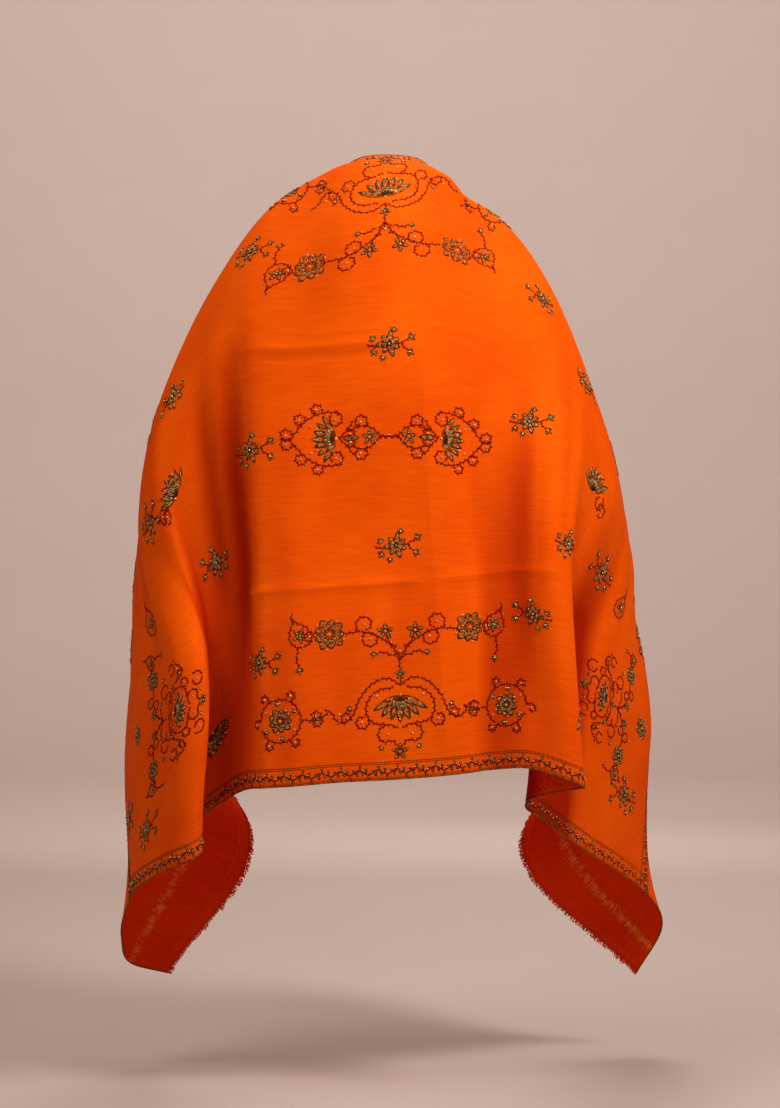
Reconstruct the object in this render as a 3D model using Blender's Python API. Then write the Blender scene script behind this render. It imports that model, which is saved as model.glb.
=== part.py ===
"""Wool shawl, worn: one length of cloth over the shoulders and both arms, seen from behind.

Metres, +Z up, +Y towards the wearer's front, +X to the wearer's right. The origin is the middle
of the top edge, where it rests on the nape. A place on the cloth is (run, drop): run goes along
the length from the centre back, minus to the left, and drop goes down from the top edge.
"""

import math

import bmesh
import bpy
import numpy as np

HALF_LENGTH = 1.0
WIDTH = 1.0
WALL = 0.0015
SEAM_GAP = 0.0003
FRINGE_GAP = 0.0005

# Where the cloth is parted into the stretches that show: down the wall of the fold at each arm.
LEFT_PART = -0.310
RIGHT_PART = 0.350

# How far down the cloth the row of "mid" points lies.
MID_DROP = 0.72
# The stretch of cloth that rounds the shoulder or arm, outside its ridge.
ROUNDING = 0.10
# Share of the spare cloth inside the arm that hangs as a swag.
SWAG_SHARE = 0.55

RUN_STEP = 0.026
# Half the stretch of cloth that a normal is measured over.
NORMAL_REACH = 0.010
DROP_ROWS = 28

STRANDS_A_ROW = 3
STRAND_LENGTH = 0.009
STRAND_WIDTH = 0.0022
STRIP_WIDTH = 0.003
STRAND_SWAY = 0.0022
# Radians of sway from one point along the strip to the next.
SWAY_TURN = 5.3

CLOTH_COLOUR = (0.83, 0.13, 0.008, 1.0)
FRINGE_COLOUR = (0.70, 0.10, 0.008, 1.0)

# The line over shoulder, arm and hand that carries the cloth. run is the distance along the
# cloth, drop how far down the cloth it lies, out the distance from the centre plane, faces the
# bearing that the cloth outside it looks to (-90 is the wearer's back, 0 straight outwards), and
# reach how far the cloth stands out below the ridge.
ARM_COLUMNS = ("run", "drop", "out", "y", "z", "faces", "reach")
RIGHT_ARM = (
    (0.00, 0.030, 0.000, -0.027, -0.010, -90, 0.072),
    (0.06, 0.030, 0.055, -0.008, -0.018, -88, 0.072),
    (0.12, 0.050, 0.104, 0.028, -0.056, -80, 0.070),
    (0.20, 0.110, 0.168, 0.045, -0.098, -66, 0.062),
    (0.30, 0.205, 0.240, 0.044, -0.196, -48, 0.045),
    (0.42, 0.325, 0.306, 0.040, -0.365, -25, 0.032),
    (0.56, 0.365, 0.333, 0.140, -0.455, -15, 0.030),
    (0.72, 0.395, 0.350, 0.255, -0.555, 5, 0.030),
    (0.86, 0.410, 0.336, 0.320, -0.655, 35, 0.040),
    (1.00, 0.400, 0.295, 0.360, -0.780, 60, 0.045),
)
LEFT_ARM = (
    (0.00, 0.030, 0.000, -0.027, -0.010, -90, 0.072),
    (0.06, 0.030, 0.058, -0.010, -0.012, -88, 0.072),
    (0.12, 0.050, 0.108, 0.022, -0.030, -80, 0.070),
    (0.20, 0.115, 0.184, 0.040, -0.076, -66, 0.062),
    (0.30, 0.200, 0.268, 0.042, -0.190, -48, 0.045),
    (0.42, 0.300, 0.340, 0.035, -0.345, -25, 0.030),
    (0.58, 0.360, 0.368, 0.140, -0.465, -15, 0.026),
    (0.72, 0.390, 0.376, 0.235, -0.545, 5, 0.026),
    (0.86, 0.400, 0.362, 0.305, -0.645, 35, 0.036),
    (1.00, 0.400, 0.318, 0.350, -0.765, 60, 0.045),
)

# The top edge: round the neck, down the chest and inside the arm.
EDGE_COLUMNS = ("run", "out", "y", "z")
RIGHT_EDGE = (
    (0.00, 0.000, 0.000, 0.000),
    (0.05, 0.046, 0.010, -0.008),
    (0.10, 0.080, 0.045, -0.045),
    (0.18, 0.134, 0.100, -0.092),
    (0.30, 0.185, 0.140, -0.200),
    (0.45, 0.212, 0.150, -0.355),
    (0.60, 0.235, 0.170, -0.525),
    (0.75, 0.262, 0.215, -0.690),
    (0.88, 0.276, 0.250, -0.835),
    (1.00, 0.280, 0.282, -0.970),
)
LEFT_EDGE = (
    (0.00, 0.000, 0.000, 0.000),
    (0.05, 0.048, 0.008, -0.003),
    (0.10, 0.088, 0.038, -0.024),
    (0.18, 0.145, 0.095, -0.075),
    (0.30, 0.200, 0.140, -0.185),
    (0.45, 0.232, 0.150, -0.350),
    (0.60, 0.258, 0.165, -0.520),
    (0.75, 0.285, 0.205, -0.680),
    (0.88, 0.298, 0.245, -0.825),
    (1.00, 0.298, 0.275, -0.955),
)

# The hanging cloth: a row for each fold, at the mid points and at the bottom edge.
HANG_COLUMNS = ("run", "mid_out", "mid_y", "mid_z", "hem_out", "hem_y", "hem_z")
RIGHT_HANG = (
    (0.00, 0.000, -0.108, -0.654, 0.000, -0.112, -0.927),
    (0.10, 0.098, -0.106, -0.650, 0.098, -0.110, -0.919),
    (0.16, 0.150, -0.094, -0.646, 0.152, -0.098, -0.913),
    (0.22, 0.203, -0.112, -0.646, 0.205, -0.116, -0.911),
    (0.27, 0.246, -0.124, -0.656, 0.258, -0.128, -0.927),
    (0.30, 0.262, -0.112, -0.662, 0.280, -0.116, -0.938),
    (0.33, 0.256, -0.088, -0.668, 0.270, -0.088, -0.943),
    (0.37, 0.238, -0.066, -0.678, 0.234, -0.066, -0.951),
    (0.41, 0.228, -0.045, -0.690, 0.203, -0.044, -0.963),
    (0.44, 0.236, -0.022, -0.702, 0.200, -0.016, -0.976),
    (0.50, 0.270, 0.026, -0.732, 0.228, 0.034, -0.999),
    (0.58, 0.318, 0.082, -0.768, 0.268, 0.094, -1.033),
    (0.66, 0.362, 0.135, -0.803, 0.310, 0.156, -1.067),
    (0.74, 0.400, 0.195, -0.838, 0.358, 0.224, -1.102),
    (0.80, 0.404, 0.255, -0.878, 0.404, 0.290, -1.140),
    (0.90, 0.330, 0.325, -0.975, 0.440, 0.345, -1.204),
    (1.00, 0.214, 0.370, -1.075, 0.404, 0.405, -1.290),
)
LEFT_HANG = (
    (0.000, 0.000, -0.108, -0.654, 0.000, -0.112, -0.927),
    (0.080, 0.080, -0.108, -0.658, 0.078, -0.112, -0.931),
    (0.150, 0.150, -0.108, -0.661, 0.147, -0.112, -0.937),
    (0.200, 0.197, -0.094, -0.664, 0.192, -0.096, -0.941),
    (0.235, 0.218, -0.066, -0.667, 0.209, -0.068, -0.944),
    (0.280, 0.238, -0.042, -0.680, 0.232, -0.040, -0.954),
    (0.330, 0.266, -0.030, -0.702, 0.272, -0.018, -0.982),
    (0.365, 0.278, -0.030, -0.720, 0.302, -0.012, -1.003),
    (0.395, 0.279, -0.048, -0.735, 0.312, -0.036, -1.020),
    (0.430, 0.270, -0.066, -0.748, 0.290, -0.062, -1.034),
    (0.455, 0.266, -0.082, -0.756, 0.277, -0.080, -1.034),
    (0.485, 0.282, -0.094, -0.768, 0.292, -0.092, -1.045),
    (0.530, 0.312, -0.078, -0.785, 0.325, -0.070, -1.062),
    (0.600, 0.355, -0.022, -0.810, 0.362, -0.012, -1.085),
    (0.700, 0.395, 0.068, -0.842, 0.392, 0.083, -1.112),
    (0.800, 0.413, 0.165, -0.880, 0.410, 0.180, -1.137),
    (0.900, 0.372, 0.275, -0.955, 0.433, 0.255, -1.209),
    (0.950, 0.316, 0.325, -1.005, 0.425, 0.298, -1.255),
    (1.000, 0.232, 0.365, -1.060, 0.365, 0.330, -1.278),
)


def clear_scene():
    for thing in list(bpy.data.objects):
        bpy.data.objects.remove(thing)


def smooth_read(knots, values, places):
    """Read a smooth curve through values at knots. Places past either end read the end value."""
    gaps = np.diff(knots)[:, None]
    slopes = np.diff(values, axis=0) / gaps
    tangents = np.empty_like(values)
    tangents[0] = slopes[0]
    tangents[-1] = slopes[-1]
    tangents[1:-1] = (gaps[1:] * slopes[:-1] + gaps[:-1] * slopes[1:]) / (gaps[1:] + gaps[:-1])
    places = np.clip(places, knots[0], knots[-1])
    before = np.clip(np.searchsorted(knots, places, side="right") - 1, 0, len(knots) - 2)
    gap = gaps[before]
    u = (places - knots[before])[:, None] / gap
    start = values[before] * (1 + 2 * u) * (1 - u) ** 2 + tangents[before] * gap * u * (1 - u) ** 2
    end = values[before + 1] * u**2 * (3 - 2 * u) + tangents[before + 1] * gap * u**2 * (u - 1)
    return start + end


def joined_table(columns, left, right):
    """Both sides' rows as one table by signed run, as {column: values}."""
    left = np.array(left)[:0:-1]
    right = np.array(right)
    table = {name: np.concatenate((left[:, i], right[:, i])) for i, name in enumerate(columns)}
    side = np.concatenate((-np.ones(len(left)), np.ones(len(right))))
    for name in columns:
        if name == "run" or name.endswith("out"):
            table[name] = table[name] * side
    if "faces" in table:
        bearing = np.radians(table.pop("faces"))
        table["face_x"] = side * np.cos(bearing)
        table["face_y"] = np.sin(bearing)
    return table


def read_table(table, names, runs):
    return smooth_read(table["run"], np.stack([table[name] for name in names], axis=1), runs)


ARM = joined_table(ARM_COLUMNS, LEFT_ARM, RIGHT_ARM)
EDGE = joined_table(EDGE_COLUMNS, LEFT_EDGE, RIGHT_EDGE)
HANG = joined_table(HANG_COLUMNS, LEFT_HANG, RIGHT_HANG)


def fall_lines(runs, drops):
    """The cloth's points, as an array of run by drop by xyz: one curve down the cloth a run."""
    ridge = read_table(ARM, ("out", "y", "z"), runs)
    ridge_drop = read_table(ARM, ("drop",), runs)[:, 0]
    facing = read_table(ARM, ("face_x", "face_y"), runs)
    facing /= np.linalg.norm(facing, axis=1)[:, None]
    reach = read_table(ARM, ("reach",), runs)[:, 0]
    edge = read_table(EDGE, ("out", "y", "z"), runs)
    mid = read_table(HANG, ("mid_out", "mid_y", "mid_z"), runs)
    hem = read_table(HANG, ("hem_out", "hem_y", "hem_z"), runs)

    outside = ridge.copy()
    outside[:, :2] += facing * reach[:, None]
    outside[:, 2] -= np.sqrt(ROUNDING**2 - reach**2)
    span = np.linalg.norm(ridge - edge, axis=1)
    swag = (ridge + edge) / 2
    swag[:, 2] -= SWAG_SHARE / 2 * np.sqrt(np.maximum(ridge_drop**2 - span**2, 0))

    lines = []
    for i in range(len(runs)):
        over = ridge_drop[i]
        knots = np.array((0, over / 2, over, over + ROUNDING, MID_DROP, WIDTH))
        points = np.stack((edge[i], swag[i], ridge[i], outside[i], mid[i], hem[i]))
        lines.append(smooth_read(knots, points, drops))
    return np.array(lines)


def normals_at(runs, drops):
    """Unit normals of the cloth at the same points as fall_lines, out of its right side."""
    along_run = fall_lines(runs + NORMAL_REACH, drops) - fall_lines(runs - NORMAL_REACH, drops)
    along_drop = fall_lines(runs, drops + NORMAL_REACH) - fall_lines(runs, drops - NORMAL_REACH)
    normals = np.cross(along_drop, along_run)
    return normals / np.linalg.norm(normals, axis=2)[:, :, None]


def run_steps(start, end):
    """Runs from start to end, with a step at every row of the hang table."""
    rows = [run for run in HANG["run"] if start < run < end]
    stops = [start, *rows, end]
    runs = []
    for low, high in zip(stops, stops[1:]):
        count = max(1, math.ceil((high - low) / RUN_STEP))
        runs.extend(np.linspace(low, high, count, endpoint=False))
    return np.array([*runs, end])


def material(name, colour, roughness):
    made = bpy.data.materials.new(name)
    made.use_nodes = True
    shader = made.node_tree.nodes["Principled BSDF"]
    shader.inputs["Base Color"].default_value = colour
    shader.inputs["Roughness"].default_value = roughness
    shader.inputs["Metallic"].default_value = 0.0
    return made


def add_object(name, mesh, finish, collection):
    mesh.materials.append(finish)
    mesh.shade_smooth()
    made = bpy.data.objects.new(name, mesh)
    collection.objects.link(made)
    return made


def cloth_stretch(name, start, end, finish, collection):
    """A closed wall along the fall lines, with the same diagonals on both of its sides."""
    runs = run_steps(start, end)
    drops = np.linspace(0, WIDTH, DROP_ROWS + 1)
    middle = fall_lines(runs, drops)
    half_wall = normals_at(runs, drops) * WALL / 2
    wall = bmesh.new()
    sides = []
    for points in (middle + half_wall, middle - half_wall):
        grid = [[wall.verts.new(point) for point in line] for line in points]
        sides.append(grid)
        for i in range(len(runs) - 1):
            for k in range(DROP_ROWS):
                corners = (grid[i][k], grid[i][k + 1], grid[i + 1][k + 1], grid[i + 1][k])
                down = np.linalg.norm(middle[i, k] - middle[i + 1, k + 1])
                up = np.linalg.norm(middle[i, k + 1] - middle[i + 1, k])
                first = 0 if down < up else 1
                a, b, c, d = corners[first:] + corners[:first]
                wall.faces.new((a, b, c))
                wall.faces.new((a, c, d))
    outside, inside = sides
    rims = [outside[0], outside[-1], [line[0] for line in outside], [line[-1] for line in outside]]
    under = [inside[0], inside[-1], [line[0] for line in inside], [line[-1] for line in inside]]
    for rim, below in zip(rims, under):
        for k in range(len(rim) - 1):
            wall.faces.new((rim[k], rim[k + 1], below[k + 1], below[k]))
    bmesh.ops.recalc_face_normals(wall, faces=wall.faces)
    mesh = bpy.data.meshes.new(name)
    wall.to_mesh(mesh)
    wall.free()
    return add_object(name, mesh, finish, collection)


def along_rows(rows, values, drops):
    """Values at the cloth's rows, read along the straight sides between them."""
    return np.stack([np.interp(drops, rows, values[:, axis]) for axis in range(3)], axis=1)


def fringe(name, side, finish, collection):
    """A narrow strip just past the short edge, with a tapered strand on every other length."""
    end_run = np.array((side * HALF_LENGTH,))
    rows = np.linspace(0, WIDTH, DROP_ROWS + 1)
    drops = [0.0]
    strand_after = []
    for row, following in zip(rows, rows[1:]):
        for k in range(STRANDS_A_ROW):
            middle = row + (k + 0.5) / STRANDS_A_ROW * (following - row)
            strand_after.append(len(drops))
            drops += [middle - STRAND_WIDTH / 2, middle + STRAND_WIDTH / 2]
        drops.append(following)
    end_rows = fall_lines(end_run, rows)[0]
    normal_rows = normals_at(end_run, rows)[0]
    tangent_rows = np.gradient(end_rows, rows, axis=0)
    tangent_rows /= np.linalg.norm(tangent_rows, axis=1)[:, None]
    out_rows = side * np.cross(normal_rows, tangent_rows)
    end_line, along, outward, normal = (
        along_rows(rows, values, drops)
        for values in (end_rows, tangent_rows, out_rows, normal_rows)
    )
    outward /= np.linalg.norm(outward, axis=1)[:, None]

    strip = bmesh.new()
    rings = []
    for point, out, across in zip(end_line, outward, normal):
        root = point + out * FRINGE_GAP
        tip = root + out * STRIP_WIDTH
        half = across * WALL / 2
        rings.append([strip.verts.new(v) for v in (root - half, tip - half, tip + half, root + half)])
    for k, (ring, following) in enumerate(zip(rings, rings[1:])):
        for a, b in ((0, 1), (2, 3), (3, 0)):
            strip.faces.new((ring[a], ring[b], following[b], following[a]))
        outer = (ring[1], ring[2], following[2], following[1])
        if k not in strand_after:
            strip.faces.new(outer)
            continue
        sway = STRAND_SWAY * math.sin(SWAY_TURN * k)
        end = (end_line[k] + end_line[k + 1]) / 2
        end = end + outward[k] * (FRINGE_GAP + STRIP_WIDTH + STRAND_LENGTH) + along[k] * sway
        point = strip.verts.new(end)
        for a, b in zip(outer, outer[1:] + outer[:1]):
            strip.faces.new((a, b, point))
    strip.faces.new(rings[0])
    strip.faces.new(rings[-1])
    bmesh.ops.recalc_face_normals(strip, faces=strip.faces)
    mesh = bpy.data.meshes.new(name)
    strip.to_mesh(mesh)
    strip.free()
    return add_object(name, mesh, finish, collection)


def build_shawl():
    clear_scene()
    collection = bpy.data.collections.new("wool_shawl")
    bpy.context.scene.collection.children.link(collection)
    wool = material("orange wool", CLOTH_COLOUR, 0.75)
    frayed = material("frayed wool", FRINGE_COLOUR, 0.85)
    half_gap = SEAM_GAP / 2
    cloth_stretch("shawl_left", -HALF_LENGTH, LEFT_PART - half_gap, wool, collection)
    cloth_stretch("shawl_back", LEFT_PART + half_gap, RIGHT_PART - half_gap, wool, collection)
    cloth_stretch("shawl_right", RIGHT_PART + half_gap, HALF_LENGTH, wool, collection)
    fringe("fringe_left", -1, frayed, collection)
    fringe("fringe_right", 1, frayed, collection)


build_shawl()
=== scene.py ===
# %% [markdown]
# # A worn wool shawl, dressed over its imported frame
# The frame holds plain solids: three stretches of cloth and two frayed ends. This script hides
# them behind finer pieces: one thin cloth, its embroidery, its stitched edges and loose fringes.
# Everything is in metres, +Z up, with the middle of the shawl's top edge at the origin.

# %% Load the frame and keep its solid meshes
import math
import random

import bpy
import numpy as np
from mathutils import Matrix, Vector


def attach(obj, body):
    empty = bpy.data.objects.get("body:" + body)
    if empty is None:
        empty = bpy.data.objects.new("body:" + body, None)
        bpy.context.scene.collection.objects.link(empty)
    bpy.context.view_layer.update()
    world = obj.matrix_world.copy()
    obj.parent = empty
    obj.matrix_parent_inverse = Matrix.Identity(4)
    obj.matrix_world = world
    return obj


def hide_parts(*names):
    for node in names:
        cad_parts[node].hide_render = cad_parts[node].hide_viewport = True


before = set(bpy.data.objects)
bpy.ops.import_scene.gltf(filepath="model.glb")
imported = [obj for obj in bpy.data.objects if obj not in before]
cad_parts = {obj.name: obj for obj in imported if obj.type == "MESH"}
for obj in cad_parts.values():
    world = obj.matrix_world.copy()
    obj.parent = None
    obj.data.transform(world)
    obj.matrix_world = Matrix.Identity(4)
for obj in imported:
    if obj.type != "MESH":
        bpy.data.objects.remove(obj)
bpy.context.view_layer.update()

print("frame nodes:", sorted(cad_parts))

# %% [markdown]
# ## Camera, floor and light
# The picture is taken from behind the wearer, level, from four metres. The floor is a wide pale
# dish whose rim curves up, so that there is no hard horizon from any side. Large soft lights stand
# where a studio has them: a key from the right, a weaker fill from the left, one overhead, and one
# on the far side for the cloth's wrong side. Two more light the backdrop and the foot of its wall,
# and a narrow spot from beside the camera lifts the middle of the back.

# %% Camera at the photograph's angle
CAMERA_PLACE = (-0.003, -4.0, -0.5985)
FRAME_HEIGHT = 1.662
SENSOR = 36.0

camera_data = bpy.data.cameras.new("view_from_behind")
camera_data.sensor_fit = "VERTICAL"
camera_data.sensor_height = SENSOR
camera_data.lens = SENSOR * -CAMERA_PLACE[1] / FRAME_HEIGHT
camera = bpy.data.objects.new("view_from_behind", camera_data)
camera.location = CAMERA_PLACE
camera.rotation_euler = (math.radians(90), 0, 0)
bpy.context.scene.collection.objects.link(camera)
bpy.context.scene.camera = camera
print("lens", round(camera_data.lens, 1), "mm")

# %% Helpers that add nodes
def add_node(nodes, kind, **values):
    """Add a shader node. Keys are attributes, or inputs where the node has one of that name."""
    node = nodes.new(kind)
    for key, value in values.items():
        name = key.replace("_", " ")
        if name in node.inputs:
            node.inputs[name].default_value = value
        else:
            setattr(node, key, value)
    return node


def two_tone(nodes, dark, light, low, high):
    """A ramp from a dark to a light shade, between two values of what drives it."""
    ramp = nodes.new("ShaderNodeValToRGB")
    for element, place, colour in zip(ramp.color_ramp.elements, (low, high), (dark, light)):
        element.position = place
        element.color = (*colour, 1)
    return ramp


def new_finish(name, surface):
    """A new material with its shader's own values set, ready for more nodes."""
    made = bpy.data.materials.new(name)
    made.use_nodes = True
    nodes = made.node_tree.nodes
    shader = nodes["Principled BSDF"]
    for socket, value in surface.items():
        shader.inputs[socket].default_value = value
    return made, nodes, made.node_tree.links.new, shader


# %% Floor: a disc whose rim is extruded up and outwards in steps
FLOOR_LEVEL = -1.425
FLOOR_RADIUS = 6.0
FLOOR_CORNERS = 96
FLOOR_COLOUR = (0.555, 0.448, 0.398)
FLOOR_ROUGHNESS = 0.9
MOTTLE_SCALE = 3.0
MOTTLE_DARKER = 0.96
# Each step of the rim: how much wider, how much higher.
RIM_STEPS = ((1.10, 0.06), (1.08, 0.22), (1.06, 0.45), (1.04, 0.75), (1.02, 1.2), (1.0, 3.5))


def deselect_all():
    bpy.ops.object.select_all(action="DESELECT")


def plain_material(name, colour, roughness):
    """A Principled material with a faint mottle, so that no surface is one flat colour."""
    made, nodes, link, shader = new_finish(name, {"Roughness": roughness})
    place = nodes.new("ShaderNodeTexCoord")
    mottle = add_node(nodes, "ShaderNodeTexNoise", Scale=MOTTLE_SCALE)
    darker = [channel * MOTTLE_DARKER for channel in colour]
    tone = two_tone(nodes, darker, colour, 0.0, 1.0)
    link(place.outputs["Object"], mottle.inputs["Vector"])
    link(mottle.outputs["Fac"], tone.inputs["Fac"])
    link(tone.outputs["Color"], shader.inputs["Base Color"])
    return made


deselect_all()
bpy.ops.mesh.primitive_circle_add(
    vertices=FLOOR_CORNERS, radius=FLOOR_RADIUS, fill_type="NGON", location=(0, 0, FLOOR_LEVEL)
)
floor = bpy.context.object
floor.name = "studio_floor"
bpy.ops.object.mode_set(mode="EDIT")
bpy.ops.mesh.select_all(action="DESELECT")
bpy.ops.object.mode_set(mode="OBJECT")
for edge in floor.data.edges:
    edge.select = True
bpy.ops.object.mode_set(mode="EDIT")
bpy.ops.mesh.select_mode(type="EDGE")
for wider, higher in RIM_STEPS:
    bpy.ops.mesh.extrude_edges_move(TRANSFORM_OT_translate={"value": (0, 0, higher)})
    bpy.ops.transform.resize(value=(wider, wider, 1), center_override=(0, 0, 0))
bpy.ops.mesh.select_all(action="SELECT")
bpy.ops.mesh.normals_make_consistent(inside=True)
bpy.ops.object.mode_set(mode="OBJECT")
bpy.ops.object.shade_smooth()
bpy.ops.object.transform_apply(location=True)
floor.data.materials.append(plain_material("pale studio floor", FLOOR_COLOUR, FLOOR_ROUGHNESS))
print("floor", len(floor.data.polygons), "faces")

# %% Soft lights
# Each row: name, place, size, watts, and the point it is aimed at.
LIGHTS = (
    ("key", (1.9, -2.05, 1.75), 0.8, 79.0, (0.0, 0.0, -0.55)),
    ("fill", (-1.9, -2.1, 2.9), 2.2, 54.0, (0.0, 0.0, -0.55)),
    ("overhead", (0.0, 1.0, 2.4), 1.6, 31.0, (0.0, 0.5, -1.4)),
    ("far_side", (0.6, 3.6, 0.8), 2.6, 24.0, (0.0, 0.0, -0.55)),
    ("backdrop", (0.0, 2.6, 2.3), 2.0, 152.0, (0.0, 8.0, 2.6)),
    ("wall_foot", (0.0, 4.2, 3.3), 1.6, 36.0, (0.0, 8.0, -1.3)),
)
SPOT_PLACE = (0.15, -3.4, 0.45)
SPOT_AIM = (0.03, 0.0, -0.37)
SPOT_CONE = 16.0
SPOT_WATTS = 108.0
SPOT_SIZE = 0.3
AIR_COLOUR = (0.92, 0.58, 0.46, 1)
AIR_STRENGTH = 0.20


def add_light(name, kind, place, watts, aim):
    light_data = bpy.data.lights.new(name, kind)
    light_data.energy = watts
    light = bpy.data.objects.new(name, light_data)
    light.location = place
    light.rotation_euler = (Vector(aim) - Vector(place)).to_track_quat("-Z", "Y").to_euler()
    bpy.context.scene.collection.objects.link(light)
    return light_data


for name, place, size, watts, aim in LIGHTS:
    panel = add_light(name, "AREA", place, watts, aim)
    panel.shape = "DISK"
    panel.size = size
spot = add_light("middle_of_back", "SPOT", SPOT_PLACE, SPOT_WATTS, SPOT_AIM)
spot.spot_size = math.radians(SPOT_CONE)
spot.spot_blend = 1.0
spot.shadow_soft_size = SPOT_SIZE

world = bpy.data.worlds.new("studio air")
world.use_nodes = True
air = world.node_tree.nodes["Background"]
air.inputs["Color"].default_value = AIR_COLOUR
air.inputs["Strength"].default_value = AIR_STRENGTH
bpy.context.scene.world = world
bpy.context.scene.view_settings.view_transform = "Standard"
bpy.context.scene.view_settings.look = "Medium High Contrast"
print(len(LIGHTS) + 1, "lights")

# %% [markdown]
# ## The form of the drape
# The real shawl is one rectangle of wool, 2.0 m by 1.0 m, laid over the shoulders and both bent
# arms. A place on it is (run, drop): run goes along the length from the centre back, minus to the
# left, and drop goes down from the top edge. Short tables say where the cloth is held (the line
# over shoulder, arm and hand), where its top edge goes, and where each fold hangs. Smooth curves
# read between their rows. They are the values that shaped the frame's solids.

# %% Tables of the drape
HALF_LENGTH = 1.0
WIDTH = 1.0
MID_DROP = 0.72
ROUNDING = 0.10
SWAG_SHARE = 0.55
NORMAL_REACH = 0.010

# The line that carries the cloth: run, drop, out, y, z, the bearing faced, the reach outwards.
RIGHT_ARM = (
    (0.00, 0.030, 0.000, -0.027, -0.010, -90, 0.072),
    (0.06, 0.030, 0.055, -0.008, -0.018, -88, 0.072),
    (0.12, 0.050, 0.104, 0.028, -0.056, -80, 0.070),
    (0.20, 0.110, 0.168, 0.045, -0.098, -66, 0.062),
    (0.30, 0.205, 0.240, 0.044, -0.196, -48, 0.045),
    (0.42, 0.325, 0.306, 0.040, -0.365, -25, 0.032),
    (0.56, 0.365, 0.333, 0.140, -0.455, -15, 0.030),
    (0.72, 0.395, 0.350, 0.255, -0.555, 5, 0.030),
    (0.86, 0.410, 0.336, 0.320, -0.655, 35, 0.040),
    (1.00, 0.400, 0.295, 0.360, -0.780, 60, 0.045),
)
LEFT_ARM = (
    (0.00, 0.030, 0.000, -0.027, -0.010, -90, 0.072),
    (0.06, 0.030, 0.058, -0.010, -0.012, -88, 0.072),
    (0.12, 0.050, 0.108, 0.022, -0.030, -80, 0.070),
    (0.20, 0.115, 0.184, 0.040, -0.076, -66, 0.062),
    (0.30, 0.200, 0.268, 0.042, -0.190, -48, 0.045),
    (0.42, 0.300, 0.340, 0.035, -0.345, -25, 0.030),
    (0.58, 0.360, 0.368, 0.140, -0.465, -15, 0.026),
    (0.72, 0.390, 0.376, 0.235, -0.545, 5, 0.026),
    (0.86, 0.400, 0.362, 0.305, -0.645, 35, 0.036),
    (1.00, 0.400, 0.318, 0.350, -0.765, 60, 0.045),
)
# The top edge: run, out, y, z.
RIGHT_EDGE = (
    (0.00, 0.000, 0.000, 0.000),
    (0.05, 0.046, 0.010, -0.008),
    (0.10, 0.080, 0.045, -0.045),
    (0.18, 0.134, 0.100, -0.092),
    (0.30, 0.185, 0.140, -0.200),
    (0.45, 0.212, 0.150, -0.355),
    (0.60, 0.235, 0.170, -0.525),
    (0.75, 0.262, 0.215, -0.690),
    (0.88, 0.276, 0.250, -0.835),
    (1.00, 0.280, 0.282, -0.970),
)
LEFT_EDGE = (
    (0.00, 0.000, 0.000, 0.000),
    (0.05, 0.048, 0.008, -0.003),
    (0.10, 0.088, 0.038, -0.024),
    (0.18, 0.145, 0.095, -0.075),
    (0.30, 0.200, 0.140, -0.185),
    (0.45, 0.232, 0.150, -0.350),
    (0.60, 0.258, 0.165, -0.520),
    (0.75, 0.285, 0.205, -0.680),
    (0.88, 0.298, 0.245, -0.825),
    (1.00, 0.298, 0.275, -0.955),
)
# The hanging folds: run, then out, y, z at the mid drop and at the bottom edge.
RIGHT_HANG = (
    (0.00, 0.000, -0.108, -0.654, 0.000, -0.112, -0.927),
    (0.10, 0.098, -0.106, -0.650, 0.098, -0.110, -0.919),
    (0.16, 0.150, -0.094, -0.646, 0.152, -0.098, -0.913),
    (0.22, 0.203, -0.112, -0.646, 0.205, -0.116, -0.911),
    (0.27, 0.246, -0.124, -0.656, 0.258, -0.128, -0.927),
    (0.30, 0.262, -0.112, -0.662, 0.280, -0.116, -0.938),
    (0.33, 0.256, -0.088, -0.668, 0.270, -0.088, -0.943),
    (0.37, 0.238, -0.066, -0.678, 0.234, -0.066, -0.951),
    (0.41, 0.228, -0.045, -0.690, 0.203, -0.044, -0.963),
    (0.44, 0.236, -0.022, -0.702, 0.200, -0.016, -0.976),
    (0.50, 0.270, 0.026, -0.732, 0.228, 0.034, -0.999),
    (0.58, 0.318, 0.082, -0.768, 0.268, 0.094, -1.033),
    (0.66, 0.362, 0.135, -0.803, 0.310, 0.156, -1.067),
    (0.74, 0.400, 0.195, -0.838, 0.358, 0.224, -1.102),
    (0.80, 0.404, 0.255, -0.878, 0.404, 0.290, -1.140),
    (0.90, 0.330, 0.325, -0.975, 0.440, 0.345, -1.204),
    (1.00, 0.214, 0.370, -1.075, 0.404, 0.405, -1.290),
)
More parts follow.
